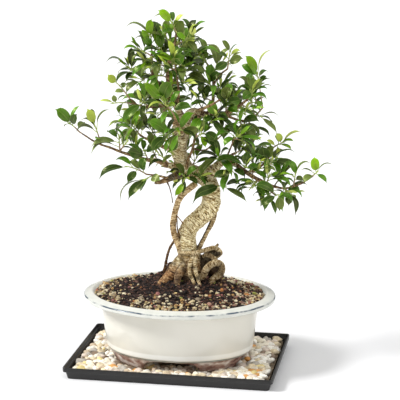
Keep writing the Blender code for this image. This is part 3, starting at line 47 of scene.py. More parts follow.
# Camera: it looks at the tree's front, which is turned ten degrees from the pot's, from a little
# above. A long lens from 1.9 m away keeps the tray's sides nearly parallel.

# The turn and rise are in degrees, the distance, the point looked at and the lens in millimetres.
VIEW_TURN = 10
VIEW_RISE = 13.2
VIEW_DISTANCE = 1880
VIEW_SIDE = 27
VIEW_HEIGHT = 221
LENS = 130.5

turn = math.radians(VIEW_TURN)
rise = math.radians(VIEW_RISE)
look_at = Vector((VIEW_SIDE * MM * math.cos(turn), VIEW_SIDE * MM * math.sin(turn), VIEW_HEIGHT * MM))
backwards = Vector((math.sin(turn) * math.cos(rise), -math.cos(turn) * math.cos(rise), math.sin(rise)))
camera = bpy.data.objects.new("camera", bpy.data.cameras.new("camera"))
scene.collection.objects.link(camera)
camera.data.sensor_width = 36
camera.data.lens = LENS
camera.data.dof.use_dof = False
camera.location = look_at + backwards * (VIEW_DISTANCE * MM)
camera.rotation_euler = (-backwards).to_track_quat("-Z", "Y").to_euler()
scene.camera = camera


# Floor and light: a sweep of white paper under a white sky that is brightest overhead. A broad soft
# key light comes from the left, so that the pot's front falls into half tone and a pale shadow lies
# to the right, and a weak fill light comes from the right.

FLOOR_REACH = 40
# Each light's name, strength, spread in degrees and the way that it shines.
SUNS = (
    ("key_light", 2.85, 17, (0.85, 0.36, -0.8)),
    ("fill_light", 0.75, 50, (-0.9, 0.3, -0.5)),
)


def linear(code, share=1.0):
    """An sRGB hex colour as the linear values that a shader takes, dimmed by share."""
    parts = [int(code[i:i + 2], 16) / 255 for i in (1, 3, 5)]
    return (*[share * (p / 12.92 if p <= 0.04045 else ((p + 0.055) / 1.055) ** 2.4) for p in parts], 1)


def set_inputs(owner, node, inputs):
    """Set each named input to a value or a hex colour, or link it to another node's socket."""
    for name, value in inputs.items():
        if isinstance(value, bpy.types.NodeSocket):
            owner.node_tree.links.new(value, node.inputs[name])
        else:
            node.inputs[name].default_value = linear(value) if isinstance(value, str) else value


def add_node(owner, kind, inputs=None, output=0, stops=(), **settings):
    """Add a node with its settings, inputs and any colour stops, and return one of its outputs."""
    node = owner.node_tree.nodes.new("ShaderNode" + kind)
    for name, value in settings.items():
        setattr(node, name, value)
    set_inputs(owner, node, inputs or {})
    for index, (place, colour) in enumerate(stops):
        band = node.color_ramp.elements
        stop = band[index] if index < 2 else band.new(place)
        stop.position = place
        stop.color = linear(colour) if isinstance(colour, str) else colour
    return node.outputs[output]


def new_material(name):
    """A new material with a surface shader of its own."""
    made = bpy.data.materials.new(name)
    made.use_nodes = True
    return made


def set_surface(material, inputs):
    """Set or link the inputs of the material's surface shader."""
    set_inputs(material, material.node_tree.nodes["Principled BSDF"], inputs)


def mesh_object(name, points, faces, materials, slots=None, values=None, colours=None, smooth=True):
    """A mesh object: slots is a material index per face, values and colours are per point."""
    mesh = bpy.data.meshes.new(name)
    mesh.from_pydata([tuple(p) for p in points], [], faces)
    for material in materials:
        mesh.materials.append(material)
    if slots is not None:
        mesh.polygons.foreach_set("material_index", np.asarray(slots, dtype=np.int32))
    mesh.polygons.foreach_set("use_smooth", [smooth] * len(mesh.polygons))
    for key, numbers in (values or {}).items():
        layer = mesh.attributes.new(key, "FLOAT", "POINT")
        layer.data.foreach_set("value", np.asarray(numbers, dtype=np.float32))
    for key, rows in (colours or {}).items():
        layer = mesh.color_attributes.new(key, "FLOAT_COLOR", "POINT")
        layer.data.foreach_set("color", np.asarray(rows, dtype=np.float32).ravel())
    mesh.update()
    made = bpy.data.objects.new(name, mesh)
    scene.collection.objects.link(made)
    return made


# Matt paper, which takes a soft shadow and has no shine.
paper = new_material("white paper sweep")
set_surface(paper, {"Base Color": "#F4F4F5", "Roughness": 0.9, "Specular IOR Level": 0.1})
corners = [(-FLOOR_REACH, -FLOOR_REACH, 0), (FLOOR_REACH, -FLOOR_REACH, 0)]
corners += [(FLOOR_REACH, FLOOR_REACH, 0), (-FLOOR_REACH, FLOOR_REACH, 0)]
floor = mesh_object("floor", corners, [(0, 1, 2, 3)], [paper])

world = bpy.data.worlds.new("white studio")
world.use_nodes = True
direction = add_node(world, "TexCoord", output="Generated")
upward = add_node(world, "SeparateXYZ", {"Vector": direction}, "Z")
sky = add_node(world, "MapRange", {
    "Value": upward, "From Min": 0.1, "From Max": 1.0, "To Min": 0.26, "To Max": 0.9,
})
set_inputs(world, world.node_tree.nodes["Background"], {"Color": "#FFFFFF", "Strength": sky})
scene.world = world

for name, strength, spread, heading in SUNS:
    sun = bpy.data.objects.new(name, bpy.data.lights.new(name, "SUN"))
    sun.data.energy = strength
    sun.data.angle = math.radians(spread)
    sun.rotation_euler = Vector(heading).to_track_quat("-Z", "Y").to_euler()
    scene.collection.objects.link(sun)


# The humidity tray: one piece of black plastic, moulded with a wall that leans out to a stepped
# rim. It stands on the table and holds the pebbles.

TRAY_LENGTH = 272 * MM
TRAY_WIDTH = 188 * MM
CORNER_RADIUS = 4.4 * MM
CORNER_POINTS = 7
# Up the outside, over the rim and down the inside: how much smaller than the tray each ring is, and
# its height, in millimetres.
TRAY_RINGS = (
    (10, 0.0), (6.1, 9.0), (5.7, 9.4), (0.8, 10.0), (0.3, 10.3), (0, 15.4), (0.5, 15.9), (1.4, 16.0),
    (3.0, 15.9), (3.6, 15.4), (3.6, 12.3), (4.2, 11.8), (8.0, 11.2), (8.6, 10.6), (13.4, 2.2), (14.6, 1.8),
)


def speckle(owner, size, detail=3.0, stretch=(1, 1, 1)):
    """A cloudy pattern whose spots are about size millimetres across on the object."""
    place = add_node(owner, "TexCoord", output="Object")
    scale = [part / (size * MM) for part in stretch]
    scaled = add_node(owner, "Mapping", {"Vector": place, "Scale": scale}, "Vector")
    return add_node(owner, "TexNoise", {"Vector": scaled, "Scale": 1.0, "Detail": detail}, "Fac")


def ring_faces(rings, count, start=0, flipped=False):
    """Faces that join rings of count points each, the other way round where flipped is set."""
    faces = []
    for ring in range(rings - 1):
        low = start + ring * count
        for step in range(count):
            after = (step + 1) % count
            face = (low + step, low + after, low + count + after, low + count + step)
            faces.append((face[0], *face[:0:-1]) if flipped else face)
    return faces


def on_frame(piece, slot, *nodes):
    """Put the piece on the body and in the place of the frame's nodes that it dresses. The slot is not used.
    """
    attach(piece, "root")
    if nodes:
        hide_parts(*nodes)


tray_points = []
for inset, height in TRAY_RINGS:
    for quarter in range(4):
        across = 1 if quarter in (0, 3) else -1
        along = 1 if quarter in (0, 1) else -1
        middle_x = across * ((TRAY_LENGTH - inset * MM) / 2 - CORNER_RADIUS)
        middle_y = along * ((TRAY_WIDTH - inset * MM) / 2 - CORNER_RADIUS)
        for step in range(CORNER_POINTS):
            angle = math.pi / 2 * (quarter + step / (CORNER_POINTS - 1))
            x = middle_x + CORNER_RADIUS * math.cos(angle)
            y = middle_y + CORNER_RADIUS * math.sin(angle)
            tray_points.append((x, y, height * MM))
ring_size = 4 * CORNER_POINTS
tray_faces = [tuple(range(ring_size))[::-1]]
tray_faces += ring_faces(len(TRAY_RINGS), ring_size)
tray_faces.append(tuple(range(len(tray_points) - ring_size, len(tray_points))))

# Moulded plastic: nearly black, with a dull shine and a grain that is only just felt.
tray_plastic = new_material("black plastic")
grey = add_node(tray_plastic, "ValToRGB", {"Fac": speckle(tray_plastic, 30)}, stops=(
    (0.3, "#1A1919"), (0.7, "#222120"),
))
grain = {"Height": speckle(tray_plastic, 0.8), "Strength": 1.0, "Distance": 0.03 * MM}
set_surface(tray_plastic, {
    "Base Color": grey, "Roughness": 0.42, "Normal": add_node(tray_plastic, "Bump", grain),
})
tray = mesh_object("tray_shell", tray_points, tray_faces, [tray_plastic])
tray.data.set_sharp_from_angle(angle=math.radians(35))
on_frame(tray, "tray_plastic", "tray")


# The pebbles: water-worn river stones of mixed pale colours, about 10 mm long. They are poured into
# the tray, heaped a little towards its edge, and the pot stands on them. A plain bed closes the gaps
# between them.

POT_LENGTH = 254 * MM
POT_WIDTH = 203 * MM
OVAL_DROP = (POT_LENGTH - POT_WIDTH) / 2
TRAY_FLOOR = 2.2 * MM
PEBBLE_PITCH = 9.3 * MM
PEBBLE_REACH = (124 * MM, 82 * MM)
# No pebbles lie where only the pot's underside would see them.
HIDDEN_REACH = (66 * MM, 42 * MM)
FOOT_OUTER = 91 * MM
FOOT_INNER = 76 * MM
# How far the pebbles reach to each side below the arches, at the pot's front and at its ends.
FRONT_GAP = 27 * MM
END_GAP = 19 * MM
# The pebbles rise from here outwards, an oval round the feet that is longer than wide.
HEAP_START = 94 * MM
HEAP_OVAL = 1.28
# Each colour and how common it is.
PEBBLE_COLOURS = (
    ("#F1E9D6", 26), ("#F8F4EA", 30), ("#E6D6B6", 14), ("#DDA25C", 3), ("#E6D394", 4), ("#B9B2A8", 9),
    ("#8B7866", 5), ("#DDCEC0", 14), ("#CFBBA0", 8),
)


def under_foot(x, y):
    """True where one of the pot's four feet stands."""
    radius = math.hypot(x, y * POT_LENGTH / (POT_LENGTH - 2.2 * OVAL_DROP))
    return FOOT_INNER < radius < FOOT_OUTER and abs(x) > FRONT_GAP and abs(y) > END_GAP


def drawn(choices):
    """One colour from pairs of a colour and how common it is."""
    return draws.choices([code for code, _ in choices], [weight for _, weight in choices])[0]


def scattered(name, spots, material, detail, smooth, rough):
    """One mesh of many small stones, none below the tray's floor.

    A spot is a place, a size each way and a colour. Each stone is a ball that noise makes rough.
    """
    form = bmesh.new()
    bmesh.ops.create_icosphere(form, subdivisions=detail, radius=1)
    form.verts.ensure_lookup_table()
    ball = np.array([v.co[:] for v in form.verts])
    ball_faces = np.array([[v.index for v in face.verts] for face in form.faces])
    form.free()
    points, faces, colours = [], [], []
    for place, size, colour in spots:
        turn = Matrix.Rotation(draws.uniform(0, 6.3), 3, "Z")
        turn = turn @ Matrix.Rotation(draws.uniform(-0.4, 0.4), 3, "X")
        shift = Vector([draws.uniform(0, 50) for _ in range(3)])
        swell = np.array([1 + rough * noise.noise(Vector(p) * 0.9 + shift) for p in ball])
        shaped = (ball * swell[:, None] * np.array(size)) @ np.array(turn).T + np.array(place)
        shaped[:, 2] = np.maximum(shaped[:, 2], TRAY_FLOOR)
        faces.append(ball_faces + len(ball) * len(points))
        points.append(shaped)
        colours.append(np.tile(np.array(colour), (len(ball), 1)))
    faces = np.concatenate(faces).tolist()
    stains = {"stain": np.concatenate(colours)}
    return mesh_object(name, np.concatenate(points), faces, [material], colours=stains, smooth=smooth)


draws = random.Random(11)
pebble_spots = []
for row in range(-10, 11):
    for column in range(-15, 16):
        x = (column + 0.5 * (row % 2)) * PEBBLE_PITCH + draws.uniform(-2, 2) * MM
        y = row * PEBBLE_PITCH * 0.87 + draws.uniform(-2, 2) * MM
        if abs(x) > PEBBLE_REACH[0] or abs(y) > PEBBLE_REACH[1] or under_foot(x, y):
            continue
        if math.hypot(x / HIDDEN_REACH[0], y / HIDDEN_REACH[1]) < 1:
            continue
        length = draws.uniform(5.0, 7.2) * MM
        size = (length, length * draws.uniform(0.7, 0.95), length * draws.uniform(0.55, 0.8))
        off_pot = max(0.0, math.hypot(x, y * HEAP_OVAL) - HEAP_START) / MM
        top = (draws.uniform(10.4, 12.4) + 2.4 * min(1, off_pot / 16)) * MM
        code = drawn(PEBBLE_COLOURS)
        pebble_spots.append(((x, y, top - size[2]), size, linear(code, draws.uniform(0.98, 1.22))))

# Worn stone: a faint shine and darker veins. The veins are drawn coarser than the real ones, so
# that they show.
river_stone = new_material("river pebble")
stain = add_node(river_stone, "Attribute", output="Color", attribute_name="stain")
vein = add_node(river_stone, "ValToRGB", {"Fac": speckle(river_stone, 4.5, 4)}, stops=(
    (0.35, (0.7, 0.68, 0.64, 1)), (0.6, (1.05, 1.05, 1.05, 1)),
))
veined = add_node(
    river_stone, "Mix", {0: 0.75, 6: stain, 7: vein}, 2, data_type="RGBA", blend_type="MULTIPLY"
)
set_surface(river_stone, {"Base Color": veined, "Roughness": 0.5})
pebbles = scattered("pebble_stones", pebble_spots, river_stone, 3, True, 0.55)
on_frame(pebbles, "river_pebbles", "pebbles")

# The stones below: a plain bed in dull brown and grey, painted shade for the gaps between the pebbles.
bed_stone = new_material("pebble bed")
shade = add_node(bed_stone, "ValToRGB", {"Fac": speckle(bed_stone, 5)}, stops=(
    (0.3, "#4A3E33"), (0.7, "#A08C72"),
))
set_surface(bed_stone, {"Base Color": shade, "Roughness": 0.8})
bed_corners = ((-1, -1), (1, -1), (1, 1), (-1, 1))
bed = mesh_object(
    "pebble_bed",
    [(x * 128.4 * MM, y * 86.4 * MM, z * MM) for z in (2.1, 7) for x, y in bed_corners],
    [(3, 2, 1, 0), (4, 5, 6, 7)] + ring_faces(2, 4), [bed_stone], smooth=False,
)
on_frame(bed, "river_pebbles")


# The pot: one piece of fired clay, an oval with a flared rim on a foot ring that arches cut into
# four feet. Cream glaze covers it outside and over the lip, and the feet are brown stoneware. A
# broken dark line shows where the glaze thins at the rim's edge, and another where it ends.

POT_TOP = 99.2 * MM
POT_BASE = 22 * MM
RIM = POT_LENGTH / 2
OVAL_CORE = 80 * MM
POT_STEPS = 160
# Heights in millimetres of the two dark lines.
RIM_EDGE = 95.4
FOOT_EDGE = 24.6
# Outlines as distance from the pot's middle along its length, and height, both in metres.
LIP = [
    (0.0905, 0.040), (0.0975, 0.080), (0.102, 0.089), (0.1145, POT_TOP - 0.0007), (0.1162, POT_TOP),
    (RIM - 0.0012, 0.0962), (RIM, 0.0946), (RIM - 0.0003, 0.0908), (RIM - 0.0026, 0.0896),
    (0.1075, 0.0865), (0.1045, 0.082), (0.1015, 0.056), (0.0976, 0.0262), (0.0962, 0.0232),
    (0.0925, POT_BASE),
]
UNDERSIDE = [(0.07, POT_BASE), (0.02, POT_BASE), (0, POT_BASE)]
FOOT_RING = [
    (0.0945, 0.0222), (0.0936, 0.0205), (0.0915, 0.0152), (0.0885, 0.0085), (0.0862, 0.0067),
    (0.0805, 0.0067), (0.079, 0.0085), (0.077, 0.0222),
]
FRONT_ARCH = 37 * MM
END_ARCH = 27 * MM
ARCH_FOOT = 8.5 * MM
ARCH_RISE = 13.3 * MM


def oval(radius, angle):
    """Each height of the pot is a circle drawn in by the same amount across its width."""
    squeeze = 1 - OVAL_DROP / max(radius, OVAL_CORE)
    return radius * math.cos(angle), radius * math.sin(angle) * squeeze


def softened(points, radius):
    """The outline with each inner corner rounded off by about radius."""
    made = [Vector(points[0])]
    for before, corner, after in zip(points, points[1:], points[2:]):
        before, corner, after = Vector(before), Vector(corner), Vector(after)
        back = min(radius, 0.45 * (before - corner).length)
        on = min(radius, 0.45 * (after - corner).length)
        first = corner + (before - corner).normalized() * back
        last = corner + (after - corner).normalized() * on
        for step in range(5):
            t = step / 4
            made.append(first * (1 - t) ** 2 + corner * 2 * t * (1 - t) + last * t * t)
    made.append(Vector(points[-1]))
    return made


def revolved(profile):
    """Points and faces of the outline turned round the pot's middle as an oval."""
    points = []
    for radius, height in profile:
        for step in range(POT_STEPS):
            x, y = oval(max(radius, 1e-5), 2 * math.pi * step / POT_STEPS)
            points.append((x, y, height))
    return points, ring_faces(len(profile), POT_STEPS, flipped=True)


def arch(off_middle, half_width):
    """How high the arch between two feet is cut at this distance from its middle."""
    if abs(off_middle) >= half_width:
        return 0
    return ARCH_FOOT + ARCH_RISE * math.sqrt(1 - abs(off_middle / half_width) ** 5)


def height_band(owner, level, half):
    """A slightly wavy band: 1 at the level, 0 beyond half of it up or down, both in millimetres."""
    spot = add_node(owner, "TexCoord", output="Object")
    height = add_node(owner, "SeparateXYZ", {"Vector": spot}, "Z")
    scaled = add_node(owner, "Math", {0: height, 1: 1 / MM}, operation="MULTIPLY")
    wobble = add_node(owner, "Math", {0: speckle(owner, 26, 4), 1: 1.5}, operation="MULTIPLY")
    wavy = add_node(owner, "Math", {0: scaled, 1: wobble}, operation="ADD")
    off = add_node(owner, "Math", {0: wavy, 1: level + 0.75}, operation="SUBTRACT")
    away = add_node(owner, "Math", {0: off}, operation="ABSOLUTE")
    return add_node(owner, "MapRange", {
        "Value": away, "From Min": 0.5 * half, "From Max": half, "To Min": 1.0, "To Max": 0.0,
    })


shell_outline = softened(LIP, 1.3 * MM) + [Vector(point) for point in UNDERSIDE]
shell_points, shell_faces = revolved(shell_outline)
foot_points, foot_faces = revolved(softened(FOOT_RING, 1.2 * MM))
foot_points = [(x, y, max(z, arch(x, FRONT_ARCH), arch(y, END_ARCH))) for x, y, z in foot_points]
foot_faces = [tuple(i + len(shell_points) for i in face) for face in foot_faces]

# Thick gloss glaze: a warm cream that clouds a little, greener on the rim, with a hard highlight. A
# painted highlight lies as a paler band along the rounded foot of the wall. The dark lines are drawn
# 2 mm wide, so that they show.
glaze = new_material("cream glaze")
wall = add_node(glaze, "ValToRGB", {"Fac": speckle(glaze, 70, 2)}, stops=(
    (0.35, "#DEDBCF"), (0.65, "#E6E3D8"),
))
mint = add_node(glaze, "ValToRGB", {"Fac": speckle(glaze, 12, 3)}, stops=(
    (0.3, "#CFD2CA"), (0.7, "#E0E0D8"),
))
body = add_node(glaze, "Mix", {0: height_band(glaze, 93, 7.5), 6: wall, 7: mint}, 2, data_type="RGBA")
gaps = add_node(glaze, "ValToRGB", {"Fac": speckle(glaze, 17, 5)}, stops=(
    (0.38, (0.12, 0.12, 0.12, 1)), (0.54, (1, 1, 1, 1)),
))
edge = height_band(glaze, RIM_EDGE, 1.0)
line = add_node(glaze, "Mix", {0: 1.0, 6: gaps, 7: edge}, 2, data_type="RGBA", blend_type="MULTIPLY")
rimmed = add_node(glaze, "Mix", {0: line, 6: body, 7: "#3C4C5C"}, 2, data_type="RGBA")
# Painted highlight: a paler band along the rounded foot of the wall.
foot_highlight = height_band(glaze, FOOT_EDGE + 5, 4)
foot_highlight = add_node(glaze, "Math", {0: foot_highlight, 1: 0.8}, operation="MULTIPLY")
highlighted = add_node(glaze, "Mix", {0: foot_highlight, 6: rimmed, 7: "#FCFCF6"}, 2, data_type="RGBA")
end_line = height_band(glaze, FOOT_EDGE, 0.9)
end_line = add_node(glaze, "Math", {0: end_line, 1: 0.8}, operation="MULTIPLY")
lined = add_node(glaze, "Mix", {0: end_line, 6: highlighted, 7: "#55625E"}, 2, data_type="RGBA")
ripples = {"Height": speckle(glaze, 25, 2), "Strength": 1.0, "Distance": 0.25 * MM}
set_surface(glaze, {
    "Base Color": lined, "Roughness": 0.16, "Coat Weight": 0.3, "Coat Roughness": 0.08,
    "Normal": add_node(glaze, "Bump", ripples),
})

# Stoneware under a thin wash: red-brown and nearly white in streaks, with a wet shine.
stoneware = new_material("brown glazed stoneware")
brown = add_node(stoneware, "ValToRGB", {"Fac": speckle(stoneware, 15, 3, (1, 1, 1.8))}, stops=(
    (0.3, "#6A4C44"), (0.42, "#9A786C"), (0.52, "#B89E92"), (0.63, "#ECE2DA"),
))
set_surface(stoneware, {"Base Color": brown, "Roughness": 0.22, "Coat Weight": 0.3})
pot = mesh_object(
    "pot_shell", shell_points + foot_points, shell_faces + foot_faces, [glaze, stoneware],
    [0] * len(shell_faces) + [1] * len(foot_faces),
)
on_frame(pot, "pot_glaze", "pot")


# The drainage screens and their clips: black plastic mesh over the two holes in the pot's base, each
# held by a bent wire. They stay as the solids are, in their own materials.

# Moulded mesh: black, with a dull shine.
mesh_plastic = new_material("black mesh plastic")
shade = add_node(mesh_plastic, "ValToRGB", {"Fac": speckle(mesh_plastic, 2)}, stops=(
    (0.3, "#1E1E20"), (0.7, "#2C2C2F"),
))
set_surface(mesh_plastic, {"Base Color": shade, "Roughness": 0.6})
# Soft drawn wire: a grey metal gone dull.
wire = new_material("aluminium wire")
shade = add_node(wire, "ValToRGB", {"Fac": speckle(wire, 3)}, stops=((0.3, "#6E665C"), (0.7, "#9A9186")))
set_surface(wire, {"Base Color": shade, "Roughness": 0.45, "Metallic": 1.0})
for side in ("left", "right"):
    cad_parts["drain_screen_" + side].data.materials[0] = mesh_plastic
    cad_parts["screen_clip_" + side].data.materials[0] = wire


# The soil: a dark mix of bark and humus, mounded and heaped against the roots. Loose crumbs lie all
# over it, and pale grit has gathered along the front edge and at both ends of the pot.

SOIL_EDGE = 96.0 * MM
SOIL_RISE = 14.0 * MM
SOIL_RADIUS = 112.4 * MM
SOIL_RINGS = 46
SOIL_STEPS = 150
# Heaps against the roots: centre, height and spread both ways, in millimetres.
SOIL_HEAPS = ((6, -4, 10, 40, 32), (-14, 8, 15, 14, 12), (46, 2, 5, 16, 14))
# The hidden side of the soil inside the pot: height and radius in millimetres, going down.
SOIL_SIDE = ((88.5, 101.2), (80, 96.9), (40, 90.2), (29.4, 85.5))
CRUMBS = 3800
GRITS = 1250
CRUMB_COLOURS = (
    ("#1C0F09", 34), ("#2E190F", 28), ("#482C1E", 20), ("#150B08", 18), ("#6A4838", 12), ("#8A6656", 6),
)
GRIT_COLOURS = (
    ("#D8C69C", 26), ("#ECE0BE", 22), ("#A8977E", 14), ("#B6905A", 10), ("#7C664C", 10), ("#A6A850", 2),
    ("#C08046", 4), ("#A8706A", 3), ("#DCC288", 10),
)
# Crushed red brick, which lies mostly at the right end.
BRICK_COLOURS = ("#8E6250", "#A8806E", "#6E4A3A")


def soil_height(x, y):
    """The soil's height at a place, and the share of the way from its middle to the pot's wall."""
    radius = math.hypot(x, y)
    for _ in range(4):
        squeeze = 1 - OVAL_DROP / max(radius, OVAL_CORE)
        radius = math.hypot(x, y / squeeze)
    share = min(radius / SOIL_RADIUS, 1.0)
    crumbs = 1.5 * noise.noise(Vector((x, y, 0)) * 160) + 0.9 * noise.noise(Vector((x, y, 3)) * 420)
    fade = 1 if share < 0.93 else max(0, (1 - share) / 0.07)
    heap = 0
    for heap_x, heap_y, rise, wide, deep in SOIL_HEAPS:
        off_heap = ((x / MM - heap_x) / wide) ** 2 + ((y / MM - heap_y) / deep) ** 2
        heap += rise * MM * math.exp(-off_heap)
    heap *= 0.9 + 0.9 * noise.noise(Vector((x, y, 9)) * 90)
    return SOIL_EDGE + SOIL_RISE * (1 - share**1.5) + heap + crumbs * fade * MM, share


soil_points = [(0, 0, soil_height(0, 0)[0])]
for ring in range(1, SOIL_RINGS + 1):
    for step in range(SOIL_STEPS):
        x, y = oval(SOIL_RADIUS * ring / SOIL_RINGS, 2 * math.pi * step / SOIL_STEPS)
        soil_points.append((x, y, soil_height(x, y)[0]))
for height, radius in SOIL_SIDE:
    for step in range(SOIL_STEPS):
        x, y = oval(radius * MM, 2 * math.pi * step / SOIL_STEPS)
        soil_points.append((x, y, height * MM))
soil_faces = [(0, 1 + step, 1 + (step + 1) % SOIL_STEPS) for step in range(SOIL_STEPS)]
soil_faces += ring_faces(SOIL_RINGS + len(SOIL_SIDE), SOIL_STEPS, 1, flipped=True)
soil_faces.append(tuple(range(len(soil_points) - SOIL_STEPS, len(soil_points))))

# Damp humus: matt, nearly black, with brown crumbs about 3 mm across.
humus = new_material("bark and humus soil")
crumb = add_node(humus, "ValToRGB", {"Fac": speckle(humus, 3, 5)}, stops=(
    (0.34, "#0F0806"), (0.5, "#2C1B13"), (0.62, "#553A2C"), (0.74, "#866450"),
))
crumbling = {"Height": speckle(humus, 1.6, 5), "Strength": 1.0, "Distance": 0.8 * MM}
set_surface(humus, {"Base Color": crumb, "Roughness": 0.95, "Normal": add_node(humus, "Bump", crumbling)})
soil = mesh_object("soil_mound", soil_points, soil_faces, [humus])
on_frame(soil, "bark_soil", "soil")

crumb_spots, grit_spots = [], []
for _ in range(CRUMBS):
    radius = SOIL_RADIUS * math.sqrt(draws.uniform(0.0, 0.96))
    x, y = oval(radius, draws.uniform(0, 2 * math.pi))
    height, share = soil_height(x, y)
    length = draws.uniform(1.2, 3.6) * MM
    size = (length, length * draws.uniform(0.3, 0.6), length * draws.uniform(0.3, 0.6))
    lift = draws.uniform(0.0, 0.8) * size[1]
    crumb_spots.append(((x, y, height + lift), size, linear(drawn(CRUMB_COLOURS), draws.uniform(0.6, 1.1))))
# Grit is rare in the middle and common along the front edge and at the ends, and lies in patches.
while len(grit_spots) < GRITS:
    radius = SOIL_RADIUS * math.sqrt(draws.uniform(0.0, 0.97))
    x, y = oval(radius, draws.uniform(0, 2 * math.pi))
    height, share = soil_height(x, y)
    edge = max(0.0, share - 0.4) / 0.6
    front = max(0.0, -y / 0.08)
    patch = max(0.0, 0.6 + 1.1 * noise.noise(Vector((x, y, 5)) * 45))
    patch *= 0.7 if x < -0.05 else 1
    patch *= 1.25 if x > 0.06 else 1
    chance = 0.008 + 0.9 * edge**1.3 * patch * (0.08 + 0.92 * max(front, abs(x) / 0.105) ** 1.5)
    if draws.random() > chance:
        continue
    length = draws.uniform(1.1, 2.4) * MM if draws.random() < 0.86 else draws.uniform(2.4, 3.7) * MM
    size = (length, length * draws.uniform(0.6, 0.95), length * draws.uniform(0.5, 0.85))
    brick = x > 0.05 and draws.random() < 0.3
    code = draws.choice(BRICK_COLOURS) if brick else drawn(GRIT_COLOURS)
    grit_spots.append(((x, y, height + 0.6 * size[2]), size, linear(code, draws.uniform(0.6, 1.15))))

# Crumbs of bark and broken stone: matt, each with its own colour and darker spots.
crumbs_and_grit = new_material("bark crumbs and grit")
stain = add_node(crumbs_and_grit, "Attribute", output="Color", attribute_name="stain")
spots = add_node(crumbs_and_grit, "ValToRGB", {"Fac": speckle(crumbs_and_grit, 1.5, 3)}, stops=(
    (0.35, (0.55, 0.5, 0.46, 1)), (0.6, (1, 1, 1, 1)),
))
spotted = add_node(
    crumbs_and_grit, "Mix", {0: 0.8, 6: stain, 7: spots}, 2, data_type="RGBA", blend_type="MULTIPLY"
)
set_surface(crumbs_and_grit, {"Base Color": spotted, "Roughness": 0.85})
grit = scattered("soil_grit", crumb_spots + grit_spots, crumbs_and_grit, 1, False, 0.7)
on_frame(grit, "bark_soil")


# The tree's wood: a trunk with an S-curve, its limbs, surface roots and aerial roots, all grown into
# one and rooted in the soil. Thick wood is fused from tubes and carved with knobs and cross ridges.
# Thin branches are smooth tubes sunk into it, with a knuckle at each joint.

VIEW_SLOPE = math.tan(math.radians(VIEW_RISE))
FRONT_TURN = Matrix.Rotation(math.radians(VIEW_TURN), 3, "Z")
# Each row is a place as it looks from the front, x, z and a depth behind the trunk, and a radius.
# All are in millimetres.
TRUNK = (
    (14, 92, 0, 15), (14, 106, 0, 16), (14, 120, 0, 16), (14, 134, 0, 15.5), (12.5, 145, 0, 14.5),
    (10.5, 154, -1, 13.4), (9.5, 164, -2, 12.5), (10, 174, -3, 12), (13, 183, -4, 12),
    (19, 191, -5, 11.8), (27, 198, -6, 11.6), (35, 205.5, -7, 11.6), (40.5, 214, -7, 11.8),
    (42, 224, -6, 11.8), (41.5, 234, -4, 11.4), (39, 243, -2, 11), (33, 250, 0, 10.8),
    (24, 255, 2, 10.6), (14, 259, 3, 10.4), (6.5, 266, 3, 10), (2.5, 275, 2, 9.8),
    (0.5, 286, 1, 9.4), (2, 298, 0, 9), (5, 308, 0, 8.6), (7, 318, 0, 8), (8, 329, 0, 7),
)

